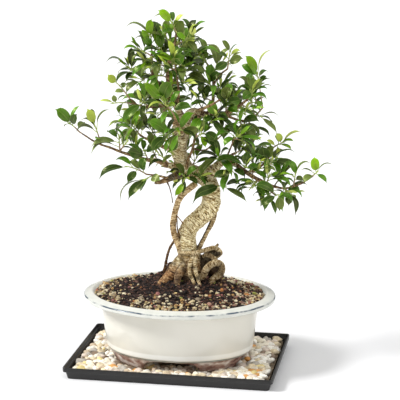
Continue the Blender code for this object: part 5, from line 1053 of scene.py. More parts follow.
# Each spray: the limb's point that it grows from, its own tip, its leaves' tones and widths in
# millimetres, and the leaves: where along the twig one grows, where its tip shows, its tip's depth
# against that of the twig there, how far its face is turned to the front, and its kind.
SPRAYS = {
    "far_left_tip": ((-128, 311, -25), (-139, 321, -27), "mdmoo", "12 9 5 8 7", (
        (0.9, -158, 340, -4, 0.9, "mid"), (0.75, -130, 334, -9, 0.8, "old"),
        (1.0, -126, 345, 4, 0.3, "young"), (0.5, -148, 316, 3, 0.0, "mid"), (0.2, -121, 322, 14, 0.3, "mid"),
    )),
    "far_left_upright": ((-100, 294, -22), (-108, 320, -25), "ydooob", "10 8 7 10 3 7", (
        (1.0, -117, 341, -3, 0.7, "young"), (0.85, -111, 341, 9, 0.8, "old"),
        (0.75, -127, 325, 3, 0.1, "mid"), (0.55, -133, 309, -3, 0.05, "mid"),
        (0.65, -87, 340, 3, 0.1, "spear"), (0.3, -108, 302, -8, 0.6, "young"),
    )),
    "left_low_long": ((-76, 285, -19), (-77, 304, -24), "oomdm", "9 8 7 10 8", (
        (0.55, -113, 291, -6, 0.35, "old"), (0.25, -114, 280, -12, 0.05, "mid"),
        (0.35, -55, 298, -3, 0.2, "mid"), (1.0, -75, 322, -2, 0.1, "young"),
        (0.75, -92, 310, 18, 0.3, "mid"),
    )),
    "left_low_round": ((-40, 274, -13), (-45, 286, -22), "dmdo", "14 7 12 8", (
        (0.6, -67, 284, -8, 1.0, "old"), (1.0, -48, 301, -3, 0.3, "mid"), (0.8, -28, 291, -4, 0.5, "mid"),
        (0.4, -58, 271, -10, 0.3, "mid"),
    )),
    "left_hanging": ((-42, 255, -25), (-65, 265, -33), "doddm", "11 8 9 10 8", (
        (1.0, -104, 247, -6, 0.35, "mid"), (0.3, -64, 272, 6, 0.6, "mid"),
        (0.5, -67, 243, -8, 0.8, "mid"), (0.15, -42, 277, -3, 0.3, "old"), (0.75, -84, 272, 12, 0.2, "mid"),
    )),
    "left_drooping": ((-30, 253.6, -19), (-43, 249, -32), "dood", "9 6 12 10", (
        (0.9, -66, 221, -8, 0.5, "mid"), (1.0, -76, 215, 3, 0.05, "mid"),
        (0.5, -24, 246, -12, 0.9, "mid"), (0.7, -50, 232, 10, 0.5, "old"),
    )),
    "left_middle": ((-50, 306, 25), (-59, 318, 22), "bbymmmd", "6 5 8 6 9 7 6", (
        (0.9, -81, 322, -4, 0.3, "mid"), (1.0, -62, 330, -3, 0.7, "young"), (0.8, -50, 331, 4, 0.5, "young"),
        (0.65, -76, 302, -6, 0.15, "mid"), (0.3, -64, 305, -6, 0.6, "mid"), (0.15, -58, 296, 6, 0.5, "old"),
        (0.4, -36, 312, -4, 0.1, "old"),
    )),
    "left_big_dark": ((-38, 343, -12), (-47, 349, -22), "dbdd", "10 5 10 10", (
        (0.85, -73, 322, -6, 0.75, "old"), (0.35, -61, 324, -16, 0.85, "mid"),
        (0.9, -26, 341, -8, 0.55, "old"), (1.0, -57, 364, 4, 0.8, "old"),
    )),
    "left_small_upper": ((-63, 354, -20), (-79, 374, -24), "yddod", "9 6 10 6 5", (
        (1.0, -90, 385, -2, 1.0, "round"), (0.7, -67, 374, -4, 0.8, "young"), (0.8, -64, 366, 6, 0.1, "old"),
        (0.35, -82, 362, -3, 0.6, "young"), (0.12, -78, 350, 2, 0.2, "mid"),
    )),
    "left_small_lower": ((-53, 346, -17), (-82, 348, -22), "yomm", "5 6 8 11", (
        (1.0, -102, 350, -2, 0.35, "young"), (0.93, -83, 359, -3, 0.9, "young"),
        (0.6, -76, 332, 14, 0.3, "mid"), (0.4, -62, 334, 8, 0.3, "mid"),
    )),
    "upper_left": ((-54, 386, 19), (-64, 393, 17), "dydbdd", "8 5 6 10 6 6", (
        (1.0, -94, 399, -4, 0.1, "mid"), (0.9, -59, 412, -2, 0.25, "young"), (0.7, -52, 404, 5, 0.3, "mid"),
        (0.4, -45, 376, -5, 0.3, "old"), (0.25, -67, 376, -8, 0.45, "mid"), (0.6, -78, 384, 12, 0.3, "mid"),
    )),
    "crown_left_low": ((-34, 399, 7), (-41, 402, -2), "dbbd", "8 6 6 6", (
        (0.6, -57, 409, -4, 0.5, "old"), (1.0, -47, 391, -6, 0.8, "young"), (0.8, -37, 391, -9, 0.7, "young"),
        (0.9, -60, 398, 8, 0.3, "mid"),
    )),
    "crown_left": ((-34, 414, 6), (-35, 433, 3), "mdbbdom", "9 7 7 9 13 7 6", (
        (0.2, -47, 430, -8, 0.8, "mid"), (0.35, -57, 429, 5, 0.1, "old"), (0.6, -47, 442, -5, 0.8, "mid"),
        (1.0, -34, 455, -5, 0.9, "mid"), (0.85, -26, 451, 13, 0.95, "old"), (0.9, -69, 443, 7, 0.1, "mid"),
        (0.5, -20, 430, -5, 0.4, "mid"),
    )),
    "crown_top": ((-3, 438, -6), (-8, 450, -8), "byodmbd", "10 6 6 5 6 6 7", (
        (1.0, -26, 466, -3, 0.9, "mid"), (0.6, 7, 461, -2, 0.35, "young"), (0.55, -33, 456, 6, 0.1, "old"),
        (0.9, -9, 464, 14, 0.4, "old"), (0.2, -22, 434, -6, 0.5, "mid"), (0.15, 8, 427, -8, 0.7, "mid"),
        (0.4, 14, 440, 12, 0.1, "old"),
    )),
    "crown_right": ((-7, 418, -4.5), (17, 433, -9), "ymddbom", "8 6 7 4 6 8 8", (
        (1.0, 18, 447, -4, 0.9, "young"), (0.97, 36, 451, -1, 0.3, "mid"), (0.9, 1, 455, 8, 0.1, "mid"),
        (0.8, 29, 428, -5, 0.1, "young"), (0.5, 9, 433, -8, 0.7, "young"), (0.6, 22, 411, -4, 0.4, "mid"),
        (0.3, -9, 403, -8, 0.5, "mid"),
    )),
    "top_middle": ((-14, 394, -3), (18, 405, 8), "dmdmdm", "6 7 6 8 10 8", (
        (1.0, 42, 417, 6, 0.1, "old"), (0.95, 52, 411, -6, 0.25, "mid"), (0.85, 46, 402, 10, 0.15, "old"),
        (0.7, 13, 420, -4, 0.6, "mid"), (0.45, 17, 391, -4, 0.5, "old"), (0.3, -8, 411, 5, 0.4, "mid"),
    )),
    "crown_front": ((-4, 391, -16), (-6, 403, -22), "mbmdym", "11 8 11 10 6 8", (
        (0.5, 7, 409, -6, 0.9, "old"), (0.8, -28, 408, -4, 0.6, "mid"), (1.0, 12, 410, 6, 0.2, "young"),
        (0.3, -19, 388, -5, 0.4, "old"), (1.0, -14, 428, -3, 0.5, "mid"), (0.15, 9, 388, -9, 0.6, "mid"),
    )),
    "right_up_arching": ((38, 396, 20), (32, 404, 18), "odddm", "8 10 9 6 8", (
        (1.0, 25, 413, -3, 0.3, "young"), (0.5, 12, 394, -6, 0.3, "old"), (0.3, 45, 380, -10, 0.5, "old"),
        (0.7, 47, 405, 5, 0.4, "mid"), (0.85, 24, 398, 16, 0.3, "mid"),
    )),
    "right_middle_dark": ((44, 362, 8), (39, 374, -2), "dmddd", "9 5 10 10 5", (
        (0.75, 3, 370, -5, 0.45, "old"), (0.5, 12, 363, -9, 0.3, "old"), (1.0, 10, 383, 3, 0.5, "old"),
        (0.9, 54, 385, -8, 0.6, "old"), (0.3, 22, 350, 6, 0.3, "mid"),
    )),
    "right_middle_olive": ((44, 359, 6.5), (52, 365, -6), "ddmd", "6 6 8 10", (
        (1.0, 77, 366, -5, 0.5, "mid"), (0.9, 69, 378, 3, 0.3, "young"), (0.6, 62, 353, -8, 0.6, "mid"),
        (0.7, 33, 358, -10, 0.3, "old"),
    )),
    "right_top": ((62, 392, 1), (65, 413, -2), "omddyoy", "6 4 10 6 5 10 5", (
        (1.0, 54, 428, -3, 0.7, "mid"), (0.97, 76, 424, 0, 0.15, "young"), (0.45, 45, 389, -6, 0.9, "old"),
        (0.55, 48, 409, 5, 0.3, "mid"), (0.35, 83, 411, 6, 0.1, "spear"), (0.2, 82, 405, -6, 0.8, "mid"),
        (0.7, 79, 414, 12, 0.4, "mid"),
    )),
    "far_right_upper": ((107, 342, 26), (100, 384, 20), "bymbddobmd", "10 3 9 5 6 6 3 5 8 5", (
        (1.0, 84, 409, -4, 0.8, "mid"), (0.98, 121, 417, 2, 0.1, "spear"), (0.93, 79, 397, 6, 0.7, "old"),
        (0.96, 89, 397, -12, 0.7, "young"), (0.8, 112, 383, -10, 0.9, "mid"), (0.88, 114, 388, 8, 0.1, "old"),
        (0.55, 119, 369, 3, 0.1, "young"), (0.4, 93, 355, -4, 0.7, "young"), (0.2, 99, 343, -8, 0.8, "mid"),
        (0.7, 86, 375, 6, 0.3, "old"),
    )),
    "right_end_olive": ((88, 353, -15), (94, 362, -17), "dddmo", "12 6 6 8 3", (
        (1.0, 82, 351, -9, 0.7, "mid"), (0.7, 74, 367, 2, 0.2, "old"), (0.95, 75, 381, 4, 0.3, "mid"),
        (0.6, 113, 352, -3, 0.3, "mid"), (0.85, 112, 374, 8, 0.2, "young"),
    )),
    "right_dark_round": ((60, 335, -9), (61, 350, -18), "dmdm", "12 8 10 7", (
        (0.9, 80, 351, -6, 0.8, "old"), (0.6, 48, 360, -2, 0.4, "mid"), (1.0, 65, 368, 2, 0.3, "old"),
        (0.4, 77, 335, -10, 0.7, "old"),
    )),
    "front_right_bright": ((41, 334, -7.3), (48, 330, -22), "bddd", "12 12 15 11", (
        (0.9, 38, 351, -5, 1.0, "mid"), (1.0, 73, 347, -3, 0.15, "young"), (0.7, 30, 322, -5, 0.4, "young"),
        (0.5, 64, 317, -2, 0.3, "old"),
    )),
    "right_back_olive": ((97, 331, 21), (104, 331, 17), "oodm", "6 5 7 7", (
        (1.0, 126, 308, -6, 0.6, "mid"), (0.8, 130, 327, 4, 0.1, "mid"), (0.5, 119, 317, 8, 0.15, "old"),
        (0.3, 76, 337, -8, 0.5, "old"),
    )),
    "right_hanging_dark": ((78, 325.5, 10), (80, 317, 3), "oddb", "11 10 11 6", (
        (0.8, 99, 303, -6, 0.8, "mid"), (0.5, 103, 324, -7, 0.5, "old"), (0.9, 62, 310, -5, 0.4, "old"),
        (1.0, 80, 300, 5, 0.4, "young"),
    )),
    "middle_hanging": ((26, 333, -6), (40, 324, -18), "ddmm", "8 10 8 8", (
        (1.0, 57, 301, -5, 0.6, "old"), (0.8, 65, 323, 4, 0.35, "old"), (0.7, 33, 311, -8, 0.4, "mid"),
        (0.5, 47, 312, 8, 0.3, "mid"),
    )),
    "middle_low": ((20.3, 303, -11), (30, 308, -19), "dbb", "11 6 6", (
        (1.0, 49, 295, -4, 0.7, "old"), (0.7, 34, 290, -3, 0.4, "young"), (0.9, 44, 318, 5, 0.3, "young"),
    )),
    "right_low_dark": ((71, 302, -24), (76, 305, -30), "mmddm", "5 6 11 10 8", (
        (1.0, 107, 298, -5, 0.5, "old"), (0.7, 99, 286, -3, 0.3, "old"), (0.5, 60, 316, 3, 0.2, "old"),
        (0.8, 96, 315, 8, 0.3, "mid"), (0.3, 58, 291, -5, 0.4, "mid"),
    )),
    "right_lime": ((121, 290, 14), (132, 296, 9), "yybyybm", "8 5 5 5 4 6 6", (
        (0.95, 124, 309, -4, 0.6, "young"), (1.0, 157, 311, -2, 0.3, "young"),
        (0.8, 148, 298, -5, 0.3, "young"),
        (0.3, 112, 300, -3, 0.6, "young"), (0.45, 127, 278, -5, 0.5, "young"),
        (0.65, 145, 287, -8, 0.3, "young"),
        (0.6, 124, 305, 16, 0.2, "mid"),
    )),
    "right_cluster": ((110, 270, 3), (119, 272, -10), "dddby", "15 11 5 4 6", (
        (0.2, 107, 292, -8, 1.0, "old"), (1.0, 152, 261, -5, 0.6, "mid"), (0.85, 153, 281, 2, 0.1, "mid"),
        (0.6, 131, 258, -6, 0.3, "mid"), (0.4, 103, 272, -10, 0.4, "young"),
    )),
    "far_right_tip": ((172, 252, -30), (177, 257, -31), "bomoo", "10 4 6 9 5", (
        (1.0, 174, 278, -3, 0.9, "mid"), (0.95, 200, 266, 2, 0.1, "mid"), (0.8, 191, 243, -4, 0.5, "mid"),
        (0.4, 161, 244, -5, 0.4, "young"), (0.7, 156, 260, 4, 0.1, "young"),
    )),
    "far_right_upright": ((148, 239, -28), (150, 254, -26), "oobm", "6 9 4 8", (
        (1.0, 171, 269, 3, 0.1, "mid"), (0.5, 161, 245, 8, 0.5, "old"), (0.8, 128, 253, -4, 0.4, "old"),
        (0.9, 141, 272, 6, 0.3, "mid"),
    )),
    "lower_right_arch": ((57, 271, -13), (52, 277, -24), "mddd", "8 10 10 11", (
        (1.0, 27, 250, -5, 0.4, "mid"), (0.6, 34, 266, 4, 0.3, "old"), (0.8, 66, 287, -4, 0.2, "old"),
        (0.9, 38, 289, 8, 0.3, "mid"),
    )),
    "lower_right_long": ((83, 261, -20.5), (87, 264, -31), "dddm", "10 6 8 8", (
        (0.9, 45, 269, -6, 0.35, "old"), (0.6, 67, 276, 6, 0.1, "old"), (1.0, 90, 286, -2, 0.45, "old"),
        (0.5, 104, 263, -8, 0.5, "mid"),
    )),
    "lower_right_under": ((69, 270, -17), (68, 257, -26), "ddm", "10 10 5", (
        (1.0, 44, 250, -5, 0.7, "old"), (0.6, 85, 251, -4, 0.4, "old"), (0.8, 73, 241, 6, 0.4, "mid"),
    )),
    "trunk_front": ((43, 238, -5), (58, 239, -22), "bdok", "6 11 8 12", (
        (0.9, 59, 254, -3, 0.9, "young"), (1.0, 80, 241, -1, 0.15, "young"), (0.85, 88, 217, -6, 0.4, "mid"),
        (0.65, 17, 215, -14, 0.75, "hooked"),
    )),
    "lower_right_dark": ((103, 248, -24), (97, 240, -35), "mdm", "5 5 8", (
        (0.7, 79, 245, -5, 0.8, "old"), (1.0, 72, 229, -3, 0.15, "old"), (0.85, 110, 225, -4, 0.5, "mid"),
    )),
    "lower_right_droop": ((125, 227, -40), (128, 228, -46), "ddom", "10 9 10 8", (
        (0.3, 97, 240, -1, 0.6, "old"), (0.7, 105, 212, -4, 0.6, "mid"), (1.0, 130, 206, -3, 0.9, "mid"),
        (0.9, 147, 216, 6, 0.5, "mid"),
    )),
    "lower_right_hang": ((136, 236.5, -27), (139, 230, -33), "ddb", "10 10 4", (
        (1.0, 142, 213, -4, 0.8, "old"), (0.6, 157, 230, 4, 0.5, "old"), (0.4, 124, 250, -5, 0.4, "young"),
    )),
    "lower_right_inner": ((113, 243, -25), (117, 253, -29), "bmd", "4 7 10", (
        (1.0, 129, 258, -4, 0.7, "young"), (0.6, 97, 257, -6, 0.6, "old"), (0.8, 138, 246, 3, 0.3, "old"),
    )),
    "front_middle": ((-7, 334, -64), (-20, 350, -69), "bmbymm", "10 15 6 5 9 8", (
        (1.0, -45, 373, -5, 0.9, "mid"), (0.93, -9, 375, -4, 0.9, "mid"), (0.6, -4, 345, -6, 0.8, "young"),
        (0.5, -40, 340, -4, 0.15, "mid"), (0.15, 17, 341, -4, 0.5, "mid"), (0.3, -22, 321, 4, 0.4, "mid"),
    )),
    "front_middle_low": ((0, 317, -36), (1, 310, -46), "mdmm", "9 10 6 8", (
        (0.9, 20, 335, -6, 0.6, "mid"), (0.6, 27, 312, 3, 0.9, "old"), (1.0, -10, 283, -3, 0.7, "old"),
        (0.4, -17, 335, -7, 0.4, "mid"),
    )),
    "front_left_low": ((2, 313, -27), (-14, 304, -32), "mdo", "13 12 7", (
        (0.9, -41, 323, -5, 0.8, "mid"), (1.0, -34, 284, -5, 0.7, "old"), (0.6, -8, 288, -10, 0.4, "mid"),
    )),
    "trunk_low_front": ((12, 259, 1), (6, 247, -20), "bddm", "7 7 9 8", (
        (1.0, -6, 226, -4, 0.8, "young"), (0.8, 24, 240, -5, 0.4, "mid"), (0.7, -6, 268, -4, 0.4, "mid"),
        (0.6, 24, 262, -8, 0.5, "mid"),
    )),
}
# These sprays show leaf by leaf in the photograph, so no leaves are added to them.
SPARSE_SPRAYS = (
    "far_left_tip", "far_left_upright", "left_low_long", "left_low_round", "left_hanging", "left_drooping",
    "left_small_upper", "left_small_lower", "crown_top", "crown_left", "right_top", "far_right_upper",
    "right_lime", "far_right_tip", "far_right_upright", "right_back_olive", "lower_right_droop",
    "trunk_front",
)
# The sprays at the back of the crown, whose leaves follow a rule: the limb's point, the tip and how
# many leaves.
BACK_SPRAYS = {
    "back_left": ((-44, 303, 56), (-70, 318, 74), 13),
    "back_middle": ((-8, 330, 56), (-20, 352, 80), 13),
    "back_right": ((50, 338, 56), (76, 352, 72), 13),
    "back_upper": ((4, 398, 48), (14, 420, 62), 12),
    "back_low_right": ((74, 284, 56), (100, 292, 72), 13),
}
# Leaf kinds: width against length, how far the blade bows, the stalk's share of the length, and how
# far the drip tip hangs.
LEAF_KINDS = {
    "old": (0.43, 0.13, 0.16, 0.1), "mid": (0.38, 0.13, 0.17, 0.1), "young": (0.44, 0.08, 0.16, 0.03),
    "round": (0.76, 0.05, 0.12, 0.0), "spear": (0.16, 0.12, 0.24, 0.03), "narrow": (0.27, 0.15, 0.18, 0.12),
    "hooked": (0.46, 0.1, 0.08, 0.34),
}
# Leaf tones, each between two colours: dark, middle, bright, yellow, dull and in deep shade.
LEAF_TONES = {
    "d": ("#1F3D0B", "#355C14"), "m": ("#38680C", "#548618"), "b": ("#4E8004", "#78A40A"),
    "y": ("#A2B83C", "#CCD878"), "o": ("#4A5C24", "#708246"), "k": ("#13260A", "#213A10"),
}
# This share of the dark and middle leaves turns towards a dull brown green.
DULLED = "#44501C"
DULLED_SHARE = 0.12
STEM_GREEN = "#A6B45C"
STEM_BROWN = "#A78C6C"
BUD_GREEN = "#B5CF5A"
STALK_GREEN = "#9CB458"
YOUNG_STALK_GREEN = "#B9CC68"
# A blade's outline: how far along it, and the share of its full width there.
BLADE_STATIONS = (
    (0.0, 0.04), (0.04, 0.26), (0.11, 0.54), (0.22, 0.80), (0.34, 0.95), (0.46, 1.0), (0.58, 0.98),
    (0.69, 0.87), (0.78, 0.66), (0.85, 0.38), (0.89, 0.20), (0.94, 0.10), (1.0, 0.02),
)
# Where its points lie across it, from one margin to the other.
BLADE_OFFSETS = (-1, -0.55, 0, 0.55, 1)
MOST_LEAF_WIDTH = 17.5 * MM
# A blade is folded and often tilted, so it is made wider than it shows by one of these.
FACING_WIDTH = 1.12
TILTED_WIDTH = 1.3
HALF_THICKNESS = 0.16 * MM
TWIG_RADIUS = 0.95 * MM
TWIG_STEPS = 12
# A bud's outline: how far along it, and its radius in millimetres.
BUD_OUTLINE = ((0, 0.55), (0.2, 0.75), (0.5, 0.6), (0.8, 0.32), (1, 0.06))
FRONT = FRONT_TURN @ Vector((0, -1, VIEW_SLOPE)).normalized()
UP = Vector((0, 0, 1))

# Each station of a blade is a row of points above and a row below. The last two faces close the ends.
blade_faces = []
row = len(BLADE_OFFSETS)
last = row - 1
for station in range(len(BLADE_STATIONS) - 1):
    low, high = station * 2 * row, (station + 1) * 2 * row
    for i in range(last):
        j = row + i
        blade_faces.append((low + i, low + i + 1, high + i + 1, high + i))
        blade_faces.append((low + j + 1, low + j, high + j, high + j + 1))
    blade_faces.append((low + row, low, high, high + row))
    blade_faces.append((low + last, low + row + last, high + row + last, high + last))
end = (len(BLADE_STATIONS) - 1) * 2 * row
blade_faces.append(tuple(range(row))[::-1] + tuple(range(row, 2 * row)))
blade_faces.append(tuple(range(end, end + row)) + tuple(range(end + 2 * row - 1, end + row - 1, -1)))


class Foliage:
    """Gathers the leaves and stems of one piece. Its random draws come from the stream in draws."""

    def __init__(self):
        self.points, self.faces, self.slots, self.stains = [], [], [], []
        self.values = {"across": [], "along": [], "under": []}

    def take(self, points, faces, slot, stains, across, along, under):
        """Add the mesh of a blade or a stem, with its values for each point."""
        self.faces += [tuple(i + len(self.points) for i in face) for face in faces]
        self.slots += [slot] * len(faces)
        self.points += points
        self.stains += stains
        self.values["across"] += across
        self.values["along"] += along
        self.values["under"] += under

    def stem(self, route, code, sides=8):
        """A closed round stem along the route, in one colour."""
        points, faces, _ = pipe(route, sides)
        flat = [0.0] * len(points)
        self.take(points, faces, 1, [linear(code)] * len(points), flat, flat, flat)

    def leaf(self, root, tip, facing, kind, tone, shown=None):
        """A leaf on its stalk from root to tip.

        Facing turns its upper side from straight up to the front. Shown is the width that the blade
        has in the photograph, in millimetres.
        """
        share, bow, stalk, hang = LEAF_KINDS[kind]
        hang *= (tip - root).length * draws.uniform(0.7, 1.2)
        tip = tip + UP * hang
        length = (tip - root).length
        axis = (tip - root).normalized()
        look = UP.lerp(FRONT, facing)
        upper = look - axis * look.dot(axis)
        if upper.length < 0.1:
            upper = FRONT - axis * FRONT.dot(axis)
        upper.normalize()
        side = axis.cross(upper)
        half = min(length * share, MOST_LEAF_WIDTH) / 2 * draws.uniform(0.94, 1.08)
        if shown:
            width = shown * MM * (FACING_WIDTH if facing > 0.5 else TILTED_WIDTH)
            half = min(max(width, 0.2 * length), 0.66 * length, MOST_LEAF_WIDTH) / 2
        bow += max(0.0, 0.4 - facing) * 0.28
        fold = draws.uniform(0.18, 0.46)
        curl = draws.uniform(-0.25, 0.25)
        sway = draws.uniform(-0.09, 0.09)
        phase = draws.uniform(0, 6.28)

        def spine(way):
            """The middle of the leaf at this share of its length: arched, swaying and hanging."""
            arched = bow * 4 * way * (1 - way) * (0.75 + 0.55 * way)
            bend = sway * math.sin(math.pi * way)
            drop = hang * (max(0.0, way - 0.72) / 0.28) ** 1.7
            return root + axis * length * way + upper * length * arched + side * length * bend - UP * drop

        first, second = [linear(code) for code in LEAF_TONES[tone]]
        if tone in "dm" and draws.random() < DULLED_SHARE:
            second = linear(DULLED)
        mix = draws.random()
        light = draws.uniform(0.74, 1.2)
        stain = [light * (a + (b - a) * mix) for a, b in zip(first[:3], second[:3])]
        points, stains, across, along, under = [], [], [], [], []
        for way, swell in BLADE_STATIONS:
            place = stalk + (1 - stalk) * way
            middle = spine(place)
            ahead = (spine(min(place + 0.02, 1.02)) - spine(place - 0.02)).normalized()
            out = ahead.cross(upper).normalized() * -1
            if out.dot(side) < 0:
                out = -out
            raised = out.cross(ahead).normalized()
            if raised.dot(upper) < 0:
                raised = -raised
            wave = 0.07 * math.sin(phase + 9 * way)
            for level, sign in ((0, 1), (1, -1)):
                for offset in BLADE_OFFSETS:
                    rise = fold * abs(offset) * half * swell * (1 - 0.45 * abs(offset)) * 1.6
                    rise += (curl * offset + wave * abs(offset)) * half * swell * 0.5
                    skin = HALF_THICKNESS * sign * (1.0 if abs(offset) < 1 else 0.25) * min(1, 0.3 + swell)
                    points.append(middle + out * offset * half * swell + raised * (rise + skin))
                    # Painted light and shade: one half of the blade is lighter than the other, and the blade
                    # darker towards its base.
                    shade = (1 + 2.6 * sway * offset) * (0.84 + 0.3 * way)
                    stains.append((*[shade * part for part in stain], 1))
                    across.append(offset)
                    along.append(way)
                    under.append(float(level))
        self.take(points, blade_faces, 0, stains, across, along, under)
        stalk_route = [(spine(way * (stalk + 0.03)), (0.68 - 0.2 * way) * MM) for way in (0, 0.5, 1)]
        self.stem(stalk_route, YOUNG_STALK_GREEN if tone in "byo" else STALK_GREEN, 6)

    def twig(self, anchor, end, woody):
        """A bowed twig from inside its limb, brown up to the step woody, and then green. Its route."""
        base, tip = seen(*anchor), seen(*end)
        bow = Vector((0, 0, 0.05)) * (tip - base).length
        route = []
        for step in range(TWIG_STEPS + 1):
            t = step / TWIG_STEPS
            place = base.lerp(tip, t) + bow * 4 * t * (1 - t)
            joint = 0.14 * math.exp(-(((t * 6) % 1 - 0.5) / 0.2) ** 2)
            route.append((place, TWIG_RADIUS * (1.02 - 0.42 * t + joint)))
        self.stem(route[:woody + 1], STEM_BROWN)
        self.stem(route[woody:], STEM_GREEN)
        return route

    def bud(self, route, length):
        """A closed pale bud at the twig's end."""
        base = route[-1][0]
        heading = (base - route[-3][0]).normalized()
        side = heading.orthogonal().normalized()
        outline = []
        for t, radius in BUD_OUTLINE:
            outline.append((base + heading * length * t + side * 0.08 * length * t * t, radius * MM))
        self.stem(outline, BUD_GREEN, 7)

    def more_leaves(self, route, count, tones, longest, start=0.15):
        """Leaves set alternately round a twig, leaning out from it and arching down."""
        heading = (route[-1][0] - route[0][0]).normalized()
        out = heading.orthogonal().normalized()
        turned = draws.uniform(0, 6.28)
        for index in range(count):
            share = start + (1.0 - start) * (index + 0.5) / count
            lean = math.radians(70 - 30 * share)
            across = Matrix.Rotation(turned + math.radians(140) * index, 3, heading) @ out
            way = heading * math.cos(lean) + across * math.sin(lean) + Vector((0, 0, -0.15))
            way -= FRONT * way.dot(FRONT) * 0.6
            length = draws.uniform(0.7, 1.1) * (longest - 12 * share) * MM
            root = at_share(route, share)
            tip = root + way.normalized() * length
            kind = draws.choice(("mid", "narrow", "narrow"))
            self.leaf(root, tip, draws.uniform(0.0, 0.4), kind, draws.choice(tones))

    def spear(self, route):
        """A narrow unrolling leaf at a twig's end, pale and nearly upright."""
        root = route[-1][0]
        heading = (root - route[-3][0]).normalized() + UP * 0.7
        heading += Vector((draws.uniform(-0.8, 0.8), draws.uniform(-0.4, 0.2), 0))
        tip = root + heading.normalized() * draws.uniform(16, 26) * MM
        self.leaf(root, tip, draws.uniform(0.3, 0.9), "spear", draws.choice("yybo"))

    def piece(self, name):
        """One piece of all that was gathered."""
        made = mesh_object(
            name, self.points, self.faces, [leaf_skin, green_bark], self.slots,
            values=self.values, colours={"stain": self.stains},
        )
        made.data.set_sharp_from_angle(angle=math.radians(70))
        return made


def at_share(route, share):
    """The place at this share of the way along a route."""
    way = share * (len(route) - 1)
    index = min(int(way), len(route) - 2)
    return route[index][0].lerp(route[index + 1][0], way - index)


# A living ficus leaf: waxy and smooth, so that it has a soft highlight tinged with its own green. It
# is paler below and along its midrib and margin, with some ten pairs of fine side veins.
leaf_skin = new_material("ficus leaf")
# The stain holds each leaf's tone, with its painted light and shade across and along the blade.
stain = add_node(leaf_skin, "Attribute", output="Color", attribute_name="stain")
across = add_node(leaf_skin, "Attribute", output="Fac", attribute_name="across")
along = add_node(leaf_skin, "Attribute", output="Fac", attribute_name="along")
under = add_node(leaf_skin, "Attribute", output="Fac", attribute_name="under")
blotch = add_node(leaf_skin, "ValToRGB", {"Fac": speckle(leaf_skin, 6, 3)}, stops=(
    (0.3, (0.9, 0.84, 0.76, 1)), (0.65, (1.12, 1.14, 1.0, 1)),
))
blade = add_node(
    leaf_skin, "Mix", {0: 1.0, 6: stain, 7: blotch}, 2, data_type="RGBA", blend_type="MULTIPLY"
)
# Veins slant towards the tip, and a sine of 62 radians along the blade sets their ten pairs.
off_rib = add_node(leaf_skin, "Math", {0: across}, operation="ABSOLUTE")
slant = add_node(leaf_skin, "Math", {0: off_rib, 1: 0.35}, operation="MULTIPLY")
slanted = add_node(leaf_skin, "Math", {0: along, 1: slant}, operation="SUBTRACT")
beat = add_node(leaf_skin, "Math", {0: slanted, 1: 62.0}, operation="MULTIPLY")
veins = add_node(leaf_skin, "Math", {0: beat}, operation="SINE")
vein = add_node(leaf_skin, "MapRange", {
    "Value": veins, "From Min": 0.8, "From Max": 1.0, "To Min": 0.0, "To Max": 0.06,
})
veined = add_node(leaf_skin, "Mix", {0: vein, 6: blade, 7: "#9CB450"}, 2, data_type="RGBA")
rib = add_node(leaf_skin, "MapRange", {
    "Value": off_rib, "From Min": 0.02, "From Max": 0.08, "To Min": 0.22, "To Max": 0.0,
})
ribbed = add_node(leaf_skin, "Mix", {0: rib, 6: veined, 7: "#A8C060"}, 2, data_type="RGBA")
pale = add_node(leaf_skin, "Mix", {0: 0.5, 6: ribbed, 7: "#7E8C44"}, 2, data_type="RGBA")
sided = add_node(leaf_skin, "Mix", {0: under, 6: ribbed, 7: pale}, 2, data_type="RGBA")
margin = add_node(leaf_skin, "MapRange", {
    "Value": off_rib, "From Min": 0.84, "From Max": 1.0, "To Min": 0.0, "To Max": 0.42,
})
edged = add_node(leaf_skin, "Mix", {0: margin, 6: sided, 7: "#A4BC54"}, 2, data_type="RGBA")
relief = {"Height": veins, "Strength": 1.0, "Distance": 0.03 * MM}
set_surface(leaf_skin, {
    "Base Color": edged, "Roughness": 0.27, "Specular IOR Level": 0.6,
    "Specular Tint": "#FCFFB3", "Normal": add_node(leaf_skin, "Bump", relief),
})

# The skin of young twigs, stalks and buds: smooth with a weak shine, green or brown, and spotted
# brown where it begins to turn to bark.
green_bark = new_material("green shoot")
stain = add_node(green_bark, "Attribute", output="Color", attribute_name="stain")
spots = add_node(green_bark, "ValToRGB", {"Fac": speckle(green_bark, 3, 3)}, stops=(
    (0.3, (0.7, 0.66, 0.5, 1)), (0.7, (1, 1, 1, 1)),
))
spotted = add_node(
    green_bark, "Mix", {0: 1.0, 6: stain, 7: spots}, 2, data_type="RGBA", blend_type="MULTIPLY"
)
set_surface(green_bark, {"Base Color": spotted, "Roughness": 0.45})

for number, (name, (anchor, end, tones, widths, rows)) in enumerate(SPRAYS.items()):
    draws = random.Random(100 + number)
    foliage = Foliage()
    route = foliage.twig(anchor, end, 6)
    for tone, shown, (share, x, z, depth, facing, kind) in zip(tones, widths.split(), rows):
        behind = anchor[2] + (end[2] - anchor[2]) * share + depth
        foliage.leaf(at_share(route, share), seen(x, z, behind), facing, kind, tone, float(shown))
    if name not in SPARSE_SPRAYS:
        foliage.more_leaves(route, 3, "dmmmk", 37)
        foliage.spear(route)
        foliage.spear(route[:-3])
    foliage.bud(route, draws.uniform(5, 8) * MM)
    on_frame(foliage.piece("leaves_" + name), "leaf", "spray_" + name)
for number, (name, (anchor, end, count)) in enumerate(BACK_SPRAYS.items()):
    draws = random.Random(300 + number)
    foliage = Foliage()
    route = foliage.twig(anchor, end, 6)
    foliage.more_leaves(route, count, "dkmmoo", 38)
    foliage.bud(route, 7 * MM)
    on_frame(foliage.piece("leaves_" + name), "leaf", "spray_" + name)


# The inner foliage: shaded twigs and leaves that grow straight from the limbs between the sprays
# and fill the crown's middle.

